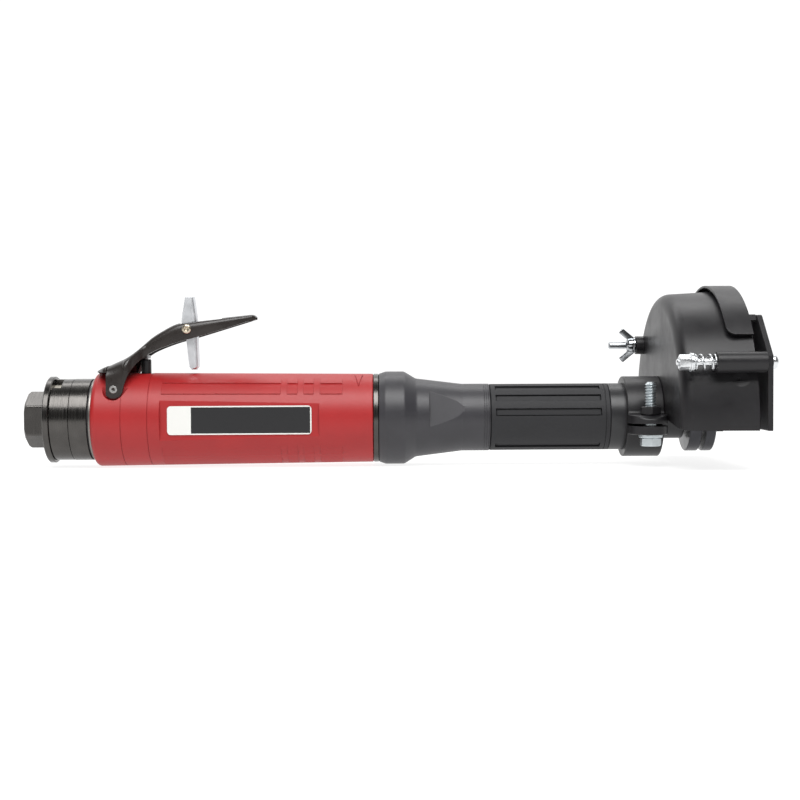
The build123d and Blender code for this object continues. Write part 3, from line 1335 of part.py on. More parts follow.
# Cover strap: bent strip over the drum's front rim, joined to the plate by two lugs
strap_start_x = guard_end_x - strap_length
with BuildPart() as cover_strap:
    tube(strap_start_x, guard_end_x, strap_bore, strap_radius)
    wedge(strap_start_x, guard_end_x, 4 * strap_radius, strap_end_angle, 180 - strap_end_angle,
          mode=Mode.INTERSECT)
    corners = cover_strap.edges().filter_by(lambda edge: abs(edge.length - strap_thickness) < seat_gap)
    fillet(corners.group_by(Axis.X)[0], strap_corner)
    fillet(cover_strap.faces().sort_by(Axis.X)[0].outer_wire().edges(), strap_edge)
    for lug_start in (strap_lug_start, 180 - strap_lug_start - strap_lug_angle):
        with BuildSketch(Plane.YZ.offset(guard_end_x)) as lug:
            Circle(strap_radius)
            Circle(strap_bore, mode=Mode.SUBTRACT)
            with BuildLine():
                Polyline((0, 0), near_angle(2 * strap_radius, lug_start),
                         near_angle(2 * strap_radius, lug_start + strap_lug_angle), close=True)
            make_face(mode=Mode.INTERSECT)
        extrude(amount=cover_gap)
cover_strap.part.label = "cover_strap"
export_step(cover_strap.part, "parts/cover_strap.step")

# Latch boss on the outside of the drum's rear wall
boss_start_x = guard_start_x - latch_boss_length
latch_bore = latch_stud_radius + 2 * run_gap
with BuildPart() as latch_boss:
    rod(boss_start_x, guard_start_x, latch_y, latch_z, latch_boss_radius)
    rod(boss_start_x, guard_start_x, latch_y, latch_z, latch_bore, mode=Mode.SUBTRACT)
latch_boss.part.label = "latch_boss"
export_step(latch_boss.part, "parts/latch_boss.step")

# Latch sleeve: distance tube inside the drum, which the cover is drawn against
with BuildPart() as latch_sleeve:
    rod(room_start_x, cover_start_x - face_gap, latch_y, latch_z, latch_sleeve_radius)
    rod(room_start_x, cover_start_x, latch_y, latch_z, latch_bore, mode=Mode.SUBTRACT)
latch_sleeve.part.label = "latch_sleeve"
export_step(latch_sleeve.part, "parts/latch_sleeve.step")

# Latch stud: head in front of the cover, thread out through the rear wall
head_start_x = cover_end_x + face_gap
with BuildPart() as latch_stud:
    rod(guard_start_x - latch_stud_rear, head_start_x, latch_y, latch_z, latch_stud_radius)
    rod(head_start_x, head_start_x + latch_head_length, latch_y, latch_z, latch_head_radius)
latch_stud.part.label = "latch_stud"
export_step(latch_stud.part, "parts/latch_stud.step")

# Wing nut: tightens the latch stud against the boss
nut_front_x = boss_start_x - face_gap
nut_rear_x = nut_front_x - wing_body_length
with BuildPart() as wing_nut:
    rod(nut_rear_x, nut_front_x, latch_y, latch_z, wing_body_radius)
    for side in (-1, 1):
        with BuildSketch(Plane.XZ.offset(-latch_y)):
            wing_x = nut_front_x - wing_root_setback - wing_length / 2 * cos(radians(wing_tilt))
            wing_z = latch_z + side * (wing_root_rise + wing_length / 2 * sin(radians(wing_tilt)))
            with Locations((wing_x, wing_z)):
                Rectangle(wing_length, wing_width, rotation=-side * wing_tilt)
        extrude(amount=wing_thickness / 2, both=True)
    rod(nut_rear_x, nut_front_x, latch_y, latch_z, latch_stud_radius + run_gap, mode=Mode.SUBTRACT)
wing_nut.part.label = "wing_nut"
export_step(wing_nut.part, "parts/wing_nut.step")
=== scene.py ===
import json
from math import cos, pi, radians, sin, tan

import bpy
import numpy as np
from mathutils import Matrix, Vector


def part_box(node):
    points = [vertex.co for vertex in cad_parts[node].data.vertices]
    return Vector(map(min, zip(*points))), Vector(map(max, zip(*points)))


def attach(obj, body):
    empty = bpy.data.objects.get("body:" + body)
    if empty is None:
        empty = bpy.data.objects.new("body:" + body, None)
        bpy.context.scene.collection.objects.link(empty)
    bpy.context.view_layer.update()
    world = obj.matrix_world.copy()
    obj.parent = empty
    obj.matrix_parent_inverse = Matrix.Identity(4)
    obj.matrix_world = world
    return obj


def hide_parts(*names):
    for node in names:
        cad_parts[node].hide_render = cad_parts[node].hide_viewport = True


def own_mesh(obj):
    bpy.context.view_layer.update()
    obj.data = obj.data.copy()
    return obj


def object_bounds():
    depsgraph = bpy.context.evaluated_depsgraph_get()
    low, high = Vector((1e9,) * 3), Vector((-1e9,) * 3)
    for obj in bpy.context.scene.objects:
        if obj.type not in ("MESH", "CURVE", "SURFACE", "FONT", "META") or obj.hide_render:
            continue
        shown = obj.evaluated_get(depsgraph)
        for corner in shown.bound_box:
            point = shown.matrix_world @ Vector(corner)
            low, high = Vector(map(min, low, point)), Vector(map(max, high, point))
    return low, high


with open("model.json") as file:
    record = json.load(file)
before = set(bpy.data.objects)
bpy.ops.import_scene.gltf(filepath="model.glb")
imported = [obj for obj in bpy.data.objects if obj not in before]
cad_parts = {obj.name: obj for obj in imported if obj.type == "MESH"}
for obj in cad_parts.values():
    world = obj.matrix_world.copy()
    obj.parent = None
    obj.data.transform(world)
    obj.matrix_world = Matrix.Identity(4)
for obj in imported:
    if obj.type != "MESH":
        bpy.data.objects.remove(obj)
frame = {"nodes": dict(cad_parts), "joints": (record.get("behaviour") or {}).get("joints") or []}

# Looks of an air-driven straight grinder with an extended nose and a clamped wheel guard.
# Metres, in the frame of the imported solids: +X runs from the air inlet to the wheel, +Z is up.

bl_info = {
    "name": "Extended straight grinder",
    "version": (1, 0, 0),
    "blender": (4, 5, 0),
    "location": "3D View > Sidebar > Grinder",
    "description": "Builds the looks of an air-driven straight grinder around its packed solids",
    "category": "Object",
}

MM = 0.001
CAD_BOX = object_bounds()
NODES = frame["nodes"]
JOINTS = {joint["name"]: joint for joint in frame["joints"]}

# Unit vectors that carry a shape's own x, y and z into the frame, by the way its axis points.
ALONG = {
    "x": np.array([[0, 1, 0], [0, 0, 1], [1, 0, 0]], float),
    "y": np.array([[0, 0, 1], [1, 0, 0], [0, 1, 0]], float),
    "z": np.eye(3),
}


def linear(colour):
    """Turn an sRGB hex colour into the linear red, green and blue that shaders use."""
    shares = [int(colour[i:i + 2], 16) / 255 for i in (1, 3, 5)]
    return tuple(c / 12.92 if c <= 0.04045 else ((c + 0.055) / 1.055) ** 2.4 for c in shares)


def opaque(colour):
    """A linear colour with full alpha, as a node socket takes it."""
    return (*colour[:3], 1.0)


def span(node):
    """Lowest corner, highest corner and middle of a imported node, as arrays."""
    low, high = (np.array(corner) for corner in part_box(node))
    return low, high, (low + high) / 2


# Surfaces

def grid_faces(rows, columns, wrap_rows=False, wrap_columns=False):
    """Quads of a grid of points that are numbered row by row, closed round where it wraps."""
    row = np.arange(rows if wrap_rows else rows - 1)
    column = np.arange(columns if wrap_columns else columns - 1)
    i, j = np.meshgrid(row, column, indexing="ij")
    k, m = (i + 1) % rows, (j + 1) % columns
    corners = (i * columns + j, i * columns + m, k * columns + m, k * columns + j)
    return np.stack(corners, -1).reshape(-1, 4)


def outward(points, faces):
    """Turn the faces round if the volume that they enclose comes out negative."""
    a, b, c = (points[[face[i] for face in faces]] for i in range(3))
    d = points[[face[-1] for face in faces]]
    volume = np.einsum("ij,ij->i", a, np.cross(b, c)).sum() + np.einsum("ij,ij->i", a, np.cross(c, d)).sum()
    return [face[::-1] for face in faces] if volume < 0 else faces


def ring_surface(rings, closed=False):
    """Points and faces of a stack of rings: capped at both ends, or joined end to end if closed."""
    count, sides = rings.shape[:2]
    points = rings.reshape(-1, 3)
    faces = grid_faces(count, sides, closed, True).tolist()
    if not closed:
        points = np.vstack([points, rings[0].mean(0), rings[-1].mean(0)])
        here = np.arange(sides)
        after = (here + 1) % sides
        last = (count - 1) * sides
        faces += np.stack([after, here, np.full(sides, count * sides)], 1).tolist()
        faces += np.stack([last + here, last + after, np.full(sides, count * sides + 1)], 1).tolist()
    return points, outward(points, faces)


def joined(*shells):
    """One set of points and faces from several shells."""
    points, faces, start = [], [], 0
    for shell_points, shell_faces in shells:
        points.append(shell_points)
        faces += [[start + i for i in face] for face in shell_faces]
        start += len(shell_points)
    return np.vstack(points), faces


def around(sides):
    """Evenly spaced angles of one turn."""
    return np.linspace(0, 2 * pi, sides, endpoint=False)


def rings_of(heights, radii, origin, axis):
    """Rings about an axis: each row has its height along the axis and its radius at every angle."""
    heights, radii = np.asarray(heights, float), np.asarray(radii, float)
    theta = around(radii.shape[1])
    local = np.stack([radii * np.cos(theta), radii * np.sin(theta),
                      np.repeat(heights[:, None], len(theta), 1)], -1)
    return local @ ALONG[axis] + np.asarray(origin)


def turned_rows(profile, sides):
    """Rows of a turned shape from (height, radius) pairs."""
    profile = np.asarray(profile, float)
    return profile[:, 0], np.repeat(profile[:, 1:2], sides, 1)


def hex_radius(theta, flats):
    """Radius of a hexagon at an angle: half its flats over the cosine of the angle from the flat."""
    return flats / 2 / np.cos((theta + pi / 6) % (pi / 3) - pi / 6)


def hex_rows(start, end, flats, sides, ease_end=True):
    """Rows of a hexagon whose corners are cut by a 30 degree cone at its start, and at its end if eased.

    The cone's rim lies just inside the flats, and a flat ring leads in from the rim."""
    rim_share, ring_share = 0.95, 0.9
    corner = flats / np.sqrt(3)
    rim = flats / 2 * rim_share
    depth = (corner - rim) * tan(radians(30))
    steps = np.linspace(0, 1, 6)
    sign = np.sign(end - start)
    heights = [start, *(start + sign * depth * steps)]
    limits = [rim * ring_share, *(rim + (corner - rim) * steps)]
    if ease_end:
        heights += [*(end - sign * depth * steps[::-1]), end]
        limits += limits[::-1]
    else:
        heights += [end]
        limits += [corner]
    radii = np.minimum(hex_radius(around(sides), flats)[None, :], np.array(limits)[:, None])
    return np.array(heights), radii


def thread_rows(start, end, radius, pitch, sides, ease=1.0):
    """Rows of a right-hand thread: the radius drops by 0.6 pitch in a triangle wave of height minus turn.

    The wave is cut off at its foot, so that the crests come out wider than the roots. Towards the end a cone
    holds the radius down, over the eased number of pitches."""
    rows_per_pitch, steepness, foot = 12, 1.6, 0.5
    count = max(2, int(round(abs(end - start) / pitch * rows_per_pitch)) + 1)
    heights = np.linspace(start, end, count)
    phase = (heights[:, None] / pitch - around(sides)[None, :] / (2 * pi)) % 1.0
    wave = np.clip(np.abs(2 * phase - 1) * steepness - foot, 0, 1)
    cone = radius - np.clip(ease * pitch - np.abs(end - heights)[:, None], 0, None)
    return heights, np.minimum(radius - 0.6 * pitch * wave, cone)


def washer_rows(start, end, bore, outer, ease, sides):
    """Rows of a flat washer: from the bore over one face, an eased rim and the other face to the bore."""
    return turned_rows([(start, bore), (start, outer - ease), (start + ease, outer), (end - ease, outer),
                        (end, outer - ease), (end, bore)], sides)


def stacked(*groups):
    """Join groups of rows into one set of heights and radii."""
    return np.concatenate([g[0] for g in groups]), np.concatenate([g[1] for g in groups])


def flipped(rows):
    """The same rows from the other end."""
    return rows[0][::-1], rows[1][::-1]


def helix_tube(start, end, radius, wire, turns, origin, axis):
    """A wire wound on a helix that is close-wound at both ends: a circle carried along the coil.

    The height is eased so that the pitch is just over one wire in the closed turns and even between them."""
    closed_turns, closed_pitch = 0.75, 1.05
    steps_per_turn, eased_steps, sides = 40, 6, 12
    turn = np.linspace(0, turns, int(turns * steps_per_turn) + 1)
    dead = closed_turns * wire * closed_pitch
    free = (end - start) - wire
    rise = np.interp(turn, [0, closed_turns, turns - closed_turns, turns], [0, dead, free - dead, free])
    window = np.ones(2 * eased_steps + 1) / (2 * eased_steps + 1)
    smooth = np.convolve(np.pad(rise, eased_steps, mode="reflect", reflect_type="odd"), window, "valid")
    height = start + wire / 2 + np.clip(smooth, 0, free)
    angle = 2 * pi * turn
    centre = np.stack([radius * np.cos(angle), radius * np.sin(angle), height], 1)
    slant = np.gradient(centre, axis=0)
    slant /= np.linalg.norm(slant, axis=1)[:, None]
    out = np.stack([np.cos(angle), np.sin(angle), np.zeros_like(angle)], 1)
    up = np.cross(slant, out)
    theta = around(sides)
    local = (centre[:, None, :] + wire / 2 * (np.cos(theta)[None, :, None] * out[:, None, :]
                                              + np.sin(theta)[None, :, None] * up[:, None, :]))
    return local @ ALONG[axis] + np.asarray(origin)


def smooth_step(x, start, end, low, high):
    """Ease from low to high as x goes from start to end."""
    t = np.clip((x - start) / (end - start), 0, 1)
    return low + (high - low) * t * t * (3 - 2 * t)


def curve_through(points, count):
    """Points along a smooth curve: cubics through the given points, sampled evenly between them.

    The slope at each point is half the step from the point before it to the point after it."""
    points = np.asarray(points, float)
    padded = np.vstack([2 * points[0] - points[1], points, 2 * points[-1] - points[-2]])
    place = np.linspace(0, len(points) - 1, count)
    i = np.minimum(place.astype(int), len(points) - 2)
    t = (place - i)[:, None]
    a, b, c, d = (padded[i + k] for k in range(4))
    return 0.5 * (2 * b + (c - a) * t + (2 * a - 5 * b + 4 * c - d) * t ** 2
                  + (3 * b - a - 3 * c + d) * t ** 3)


def squared(theta, power):
    """Cosine and sine of an angle, each to a power with its sign kept: squarer as the power falls."""
    return [np.sign(wave) * np.abs(wave) ** power for wave in (np.cos(theta), np.sin(theta))]


def piece(name, shell, material, body, slot, *stands_for, crease=40):
    """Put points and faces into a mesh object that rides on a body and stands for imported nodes."""
    points, faces = shell
    mesh = bpy.data.meshes.new(name)
    mesh.from_pydata(points.tolist(), [], faces)
    mesh.validate()
    mesh.materials.append(bpy.data.materials[material])
    mesh.polygons.foreach_set("use_smooth", np.ones(len(mesh.polygons), bool))
    mesh.set_sharp_from_angle(angle=radians(crease))
    made = bpy.data.objects.new(name, mesh)
    bpy.context.scene.collection.objects.link(made)
    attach(made, body)
    if stands_for:
        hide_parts(*stands_for)
    return made


def thickened(made, thickness, even=True):
    """Give an open sheet its metal thickness, on its inner side, and break its cut edges."""
    wall = made.modifiers.new("Wall", "SOLIDIFY")
    wall.thickness = thickness
    wall.offset = -1.0
    wall.use_even_offset = even
    edge = made.modifiers.new("Edge", "BEVEL")
    edge.width = 0.3 * MM
    edge.segments = 2
    edge.limit_method = "ANGLE"
    edge.angle_limit = radians(50)
    edge.harden_normals = True


# Materials

def add(tree, kind, inputs=None, **settings):
    """Add one node with its settings; an input is a value, or another node's socket to link."""
    made = tree.nodes.new(kind)
    for name, value in settings.items():
        setattr(made, name, value)
    for key, value in (inputs or {}).items():
        if isinstance(value, bpy.types.NodeSocket):
            tree.links.new(value, made.inputs[key])
        else:
            made.inputs[key].default_value = value
    return made


def new_material(name):
    """An empty material with its principled shader and its object coordinates."""
    made = bpy.data.materials.new(name)
    made.use_nodes = True
    tree = made.node_tree
    tree.nodes.clear()
    shader = add(tree, "ShaderNodeBsdfPrincipled")
    add(tree, "ShaderNodeOutputMaterial", {"Surface": shader.outputs["BSDF"]})
    place = add(tree, "ShaderNodeTexCoord").outputs["Object"]
    return tree, shader, place


def relief(tree, shader, height, strength, depth_mm, edge_mm):
    """Bump the shading by a height pattern, over edges that look eased by a small radius."""
    eased = add(tree, "ShaderNodeBevel", {"Radius": edge_mm * MM}, samples=4)
    bump = add(tree, "ShaderNodeBump", {"Height": height, "Strength": strength, "Distance": depth_mm * MM,
                                        "Normal": eased.outputs["Normal"]})
    tree.links.new(bump.outputs["Normal"], shader.inputs["Normal"])


def varied(tree, shader, colour, tone_pattern, tones, rough_pattern, roughness, tone_seen=(0.3, 0.7)):
    """Let the tone of the base colour follow one pattern and the roughness another.

    Each goes from its first value to its second while its pattern goes through the range that shows."""
    rough_seen = (0.3, 0.7)
    shade, rough = (
        add(tree, "ShaderNodeMapRange", {"Value": pattern, "From Min": seen[0], "From Max": seen[1],
                                         "To Min": ends[0], "To Max": ends[1]})
        for pattern, seen, ends in ((tone_pattern, tone_seen, tones), (rough_pattern, rough_seen, roughness)))
    tone = add(tree, "ShaderNodeVectorMath", {0: colour[:3], "Scale": shade.outputs["Result"]},
               operation="SCALE")
    tree.links.new(tone.outputs["Vector"], shader.inputs["Base Color"])
    tree.links.new(rough.outputs["Result"], shader.inputs["Roughness"])


def moulded_nylon(name, colour, grain_mm, roughness, mottle, grain_strength):
    """Glass-filled nylon from a spark-eroded mould: a fine pebbled skin and faint clouds of colour.

    The eye sees a matt surface whose highlight breaks up into grains."""
    cloud_mm, grain_depth_mm, edge_mm = 14, 0.05, 0.3
    tree, shader, place = new_material(name)
    clouds = add(tree, "ShaderNodeTexNoise", {"Vector": place, "Scale": 1 / (cloud_mm * MM), "Detail": 4.0})
    grain = add(tree, "ShaderNodeTexNoise", {"Vector": place, "Scale": 1 / (grain_mm * MM), "Detail": 2.0,
                                             "Roughness": 0.6})
    varied(tree, shader, colour, clouds.outputs["Fac"], (1 - mottle, 1 + mottle),
           grain.outputs["Fac"], (roughness - 0.06, roughness + 0.06))
    relief(tree, shader, grain.outputs["Fac"], grain_strength, grain_depth_mm, edge_mm)
    shader.inputs["IOR"].default_value = 1.52


def powder_coat(name, colour, roughness, peel_strength, gloss):
    """Satin black powder coat on pressed steel: slight orange peel, a broad soft gloss, faint dust."""
    peel_mm, dust_mm, peel_depth_mm, edge_mm = 1.6, 22, 0.06, 0.5
    tree, shader, place = new_material(name)
    peel = add(tree, "ShaderNodeTexNoise", {"Vector": place, "Scale": 1 / (peel_mm * MM), "Detail": 2.0})
    dust = add(tree, "ShaderNodeTexNoise", {"Vector": place, "Scale": 1 / (dust_mm * MM), "Detail": 5.0,
                                            "Roughness": 0.65})
    varied(tree, shader, colour, dust.outputs["Fac"], (0.85, 1.35),
           dust.outputs["Fac"], (roughness - 0.05, roughness + 0.08), tone_seen=(0.35, 0.75))
    relief(tree, shader, peel.outputs["Fac"], peel_strength, peel_depth_mm, edge_mm)
    shader.inputs["IOR"].default_value = 1.5
    shader.inputs["Specular IOR Level"].default_value = gloss


def turned_steel(name, colour, roughness, groove_mm, groove_strength):
    """Steel off a lathe: fine grooves round the tool axis, which draw highlights out along it.

    Real feed marks are about 0.1 mm apart; they are drawn coarser so that they show."""
    stain_mm, groove_depth_mm, edge_mm = 9, 0.02, 0.35
    tree, shader, place = new_material(name)
    stretch = add(tree, "ShaderNodeMapping", {"Vector": place, "Scale": (1.0, 0.02, 0.02)})
    grooves = add(tree, "ShaderNodeTexNoise", {"Vector": stretch.outputs["Vector"],
                                               "Scale": 1 / (groove_mm * MM), "Detail": 3.0})
    stain = add(tree, "ShaderNodeTexNoise", {"Vector": place, "Scale": 1 / (stain_mm * MM), "Detail": 4.0})
    varied(tree, shader, colour, stain.outputs["Fac"], (0.88, 1.12),
           grooves.outputs["Fac"], (roughness - 0.06, roughness + 0.08))
    relief(tree, shader, grooves.outputs["Fac"], groove_strength, groove_depth_mm, edge_mm)
    shader.inputs["Metallic"].default_value = 1.0


def plated_steel(name, colour, roughness):
    """Plated steel: pale and slightly cloudy, so that its reflections are bright but soft."""
    cloud_mm = 4
    tree, shader, place = new_material(name)
    clouds = add(tree, "ShaderNodeTexNoise", {"Vector": place, "Scale": 1 / (cloud_mm * MM), "Detail": 2.0})
    varied(tree, shader, colour, clouds.outputs["Fac"], (0.93, 1.03),
           clouds.outputs["Fac"], (roughness, roughness + 0.08))
    shader.inputs["Metallic"].default_value = 1.0


def sintered_metal(name, colour):
    """Sintered grains of the silencer, about half a millimetre apart: bright dots with dark gaps, from
    painted light in each grain's middle and painted shade towards the gaps.
    """
    grain_mm, gap_mm = 0.6, 0.2
    tree, shader, place = new_material(name)
    grains = add(tree, "ShaderNodeTexVoronoi", {"Vector": place, "Scale": 1 / (grain_mm * MM)})
    # Painted light and shade: the colour is raised above its base in the grain middles and darkened towards
    # the gaps between grains.
    shade = add(tree, "ShaderNodeMapRange", {"Value": grains.outputs["Distance"], "From Min": 0.1,
                                             "From Max": 0.7, "To Min": 1.15, "To Max": 0.6})
    tone = add(tree, "ShaderNodeVectorMath", {0: colour[:3], "Scale": shade.outputs["Result"]},
               operation="SCALE")
    tree.links.new(tone.outputs["Vector"], shader.inputs["Base Color"])
    bump = add(tree, "ShaderNodeBump", {"Height": grains.outputs["Distance"], "Strength": 0.5,
                                        "Distance": -gap_mm * MM})
    tree.links.new(bump.outputs["Normal"], shader.inputs["Normal"])
    shader.inputs["Metallic"].default_value = 1.0
    shader.inputs["Roughness"].default_value = 0.75


def blank_plate(name, ink, line):
    """Coated plate with nothing on it: a smooth dark field inside a thin pale border.

    At its rear end is an empty pale box."""
    border, box_half = 0.7 * MM, 6.0 * MM
    tree, shader, place = new_material(name)
    low, high, middle = span("data_plate")
    half = (high - low) / 2
    axes = add(tree, "ShaderNodeSeparateXYZ", {"Vector": place})

    def within(axis, centre, reach):
        """One where the coordinate is within reach of a centre."""
        return add(tree, "ShaderNodeMath", {0: axes.outputs[axis], 1: float(centre), 2: float(reach)},
                   operation="COMPARE").outputs[0]

    inside = add(tree, "ShaderNodeMath", {0: within("X", middle[0], half[0] - border),
                                          1: within("Z", middle[2], half[2] - border)},
                 operation="MULTIPLY")
    boxed = within("X", low[0] + border + box_half, box_half)
    dark = add(tree, "ShaderNodeMath", {0: inside.outputs[0], 1: boxed}, operation="SUBTRACT", use_clamp=True)
    shade = add(tree, "ShaderNodeMix", {"Factor": dark.outputs[0], "A": opaque(line), "B": opaque(ink)},
                data_type="RGBA")
    tree.links.new(shade.outputs["Result"], shader.inputs["Base Color"])
    shader.inputs["Roughness"].default_value = 0.3


# Sizes and colours

class GrinderSizes(bpy.types.PropertyGroup):
    """Sizes of the pieces that are drawn here."""

    # The clamp thread's real pitch is 1 mm; it is drawn coarser so that the thread shows.
    clamp_pitch: bpy.props.FloatProperty(
        name="Clamp thread pitch", description="Thread pitch of the clamp bolt",
        default=1.5 * MM, unit="LENGTH")
    small_pitch: bpy.props.FloatProperty(
        name="Small thread pitch", description="Pitch of the hinge and latch threads",
        default=0.7 * MM, unit="LENGTH")
    spindle_pitch: bpy.props.FloatProperty(
        name="Spindle thread pitch", description="Pitch of the wheel thread",
        default=1.06 * MM, unit="LENGTH")
    inlet_pitch: bpy.props.FloatProperty(
        name="Inlet thread pitch", description="Pitch of the air inlet thread",
        default=1.41 * MM, unit="LENGTH")
    sheet: bpy.props.FloatProperty(
        name="Lever sheet", description="Sheet thickness of the throttle lever",
        default=1.8 * MM, unit="LENGTH")
    lock_sheet: bpy.props.FloatProperty(
        name="Lock sheet", description="Sheet thickness of the lock-off lever",
        default=1.3 * MM, unit="LENGTH")


class GrinderColours(bpy.types.PropertyGroup):
    """Colours of the finishes."""

    grip: bpy.props.FloatVectorProperty(
        name="Grip red", description="Moulded grip sleeve",
        subtype="COLOR", default=linear("#A41B1D"))
    nose: bpy.props.FloatVectorProperty(
        name="Nose grey", description="Moulded nose",
        subtype="COLOR", default=linear("#313034"))
    rubber: bpy.props.FloatVectorProperty(
        name="Grip black", description="Extension grip and seals",
        subtype="COLOR", default=linear("#1B1B1E"))
    coat: bpy.props.FloatVectorProperty(
        name="Guard black", description="Powder coat on the guard",
        subtype="COLOR", default=linear("#1E1D1F"))
    tube: bpy.props.FloatVectorProperty(
        name="Tube black", description="Coated extension tube",
        subtype="COLOR", default=linear("#232325"))
    oxide: bpy.props.FloatVectorProperty(
        name="Oxide steel", description="Dark turned steel",
        subtype="COLOR", default=linear("#53514F"))
    steel: bpy.props.FloatVectorProperty(
        name="Bright steel", description="Turned and ground steel",
        subtype="COLOR", default=linear("#B9B8B6"))
    zinc: bpy.props.FloatVectorProperty(
        name="Zinc", description="Plated hinge parts and springs",
        subtype="COLOR", default=linear("#E2E4E6"))
    plate: bpy.props.FloatVectorProperty(
        name="Plate border", description="Border and box of the blank plate",
        subtype="COLOR", default=linear("#E6E6E2"))
    floor: bpy.props.FloatVectorProperty(
        name="Floor", description="Studio floor",
        subtype="COLOR", default=linear("#898988"))


def sizes():
    """The scene's sizes."""
    return bpy.context.scene.grinder_sizes


def colours():
    """The scene's colours."""
    return bpy.context.scene.grinder_colours


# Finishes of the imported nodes: which material each one wears
FINISHES = {
    "moulded_red_nylon": ["grip_sleeve"],
    "moulded_grey_nylon": ["nose_housing"],
    "moulded_black_rubber": ["extension_grip", "body_seal", "plunger_seal"],
    "black_acetal": ["valve_plunger", "plunger_collar"],
    "black_powder_coat": ["guard_drum", "guard_collar", "hinge_tube", "cover_plate", "cover_strap",
                          "latch_boss", "latch_sleeve", "clamp_nut"],
    "black_lever_coat": ["throttle_lever"],
    "black_coated_tube": ["extension_tube", "bearing_cap"],
    "black_oxide_steel": ["inlet_bushing", "exhaust_deflector", "backhead", "lock_ring"],
    "gunmetal_steel": ["rear_flange", "front_flange", "spindle_nut"],
    "bright_turned_steel": ["lever_pin", "spindle", "rotor", "motor_cylinder", "rear_end_plate",
                            "front_end_plate", "drive_coupling", "throttle_valve", "rear_bearing_outer",
                            "rear_bearing_inner", "rear_bearing_balls", "front_bearing_outer",
                            "front_bearing_inner", "front_bearing_balls", "spindle_bearing_outer",
                            "spindle_bearing_inner", "spindle_bearing_balls"],
    "zinc_plated_steel": ["hinge_bolt", "hinge_nut", "hinge_washer", "hinge_spring", "lock_spring",
                          "valve_spring"],
    "satin_zinc_plate": ["clamp_bolt", "clamp_washer"],
    "polished_nickel_plate": ["latch_stud", "wing_nut"],
    "tumbled_zinc": ["lock_lever"],
    "nickel_plated_rivet": ["lock_rivet"],
    "sintered_metal": ["silencer", "inlet_screen"],
    "machined_alloy": ["motor_housing", "valve_cap"],
    "phenolic_laminate": ["rotor_vanes"],
    "blank_plate": ["data_plate"],
}


class GRINDER_OT_finishes(bpy.types.Operator):
    """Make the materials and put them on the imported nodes"""

    bl_idname = "grinder.finishes"
    bl_label = "Finishes"

    def execute(self, context):
        tint = colours()
        # Colour, grain in mm, roughness, mottle of the colour, strength of the grain
        moulded_nylon("moulded_red_nylon", tint.grip, 0.45, 0.46, 0.05, 0.16)
        moulded_nylon("moulded_grey_nylon", tint.nose, 0.6, 0.42, 0.12, 0.18)
        moulded_nylon("moulded_black_rubber", tint.rubber, 0.5, 0.66, 0.08, 0.14)
        moulded_nylon("black_acetal", linear("#161617"), 0.4, 0.4, 0.04, 0.08)
        moulded_nylon("phenolic_laminate", linear("#5A3A1E"), 0.5, 0.55, 0.15, 0.2)
        # Colour, roughness, strength of the orange peel, specular level
        powder_coat("black_powder_coat", tint.coat, 0.36, 0.12, 0.36)
        powder_coat("black_coated_tube", tint.tube, 0.36, 0.08, 0.5)
        powder_coat("black_lever_coat", linear("#2B2725"), 0.26, 0.06, 0.5)
        # Colour, roughness, groove spacing in mm, strength of the grooves
        turned_steel("black_oxide_steel", tint.oxide, 0.22, 0.3, 0.12)
        turned_steel("gunmetal_steel", linear("#47474A"), 0.3, 0.3, 0.15)
        turned_steel("bright_turned_steel", tint.steel, 0.24, 0.3, 0.25)
        turned_steel("machined_alloy", linear("#87837F"), 0.36, 0.4, 0.25)
        # Colour, roughness
        plated_steel("zinc_plated_steel", tint.zinc, 0.24)
        plated_steel("satin_zinc_plate", linear("#D3DADD"), 0.36)
        plated_steel("polished_nickel_plate", linear("#B4B7BA"), 0.12)
        plated_steel("tumbled_zinc", linear("#DCDEE1"), 0.42)
        plated_steel("nickel_plated_rivet", linear("#CDC2AE"), 0.24)
        sintered_metal("sintered_metal", linear("#D8D3C8"))
        blank_plate("blank_plate", linear("#1B1B1D"), tint.plate)
        for material, nodes in FINISHES.items():
            for node in nodes:
                NODES[node].data.materials.clear()
                NODES[node].data.materials.append(bpy.data.materials[material])
        return {"FINISHED"}


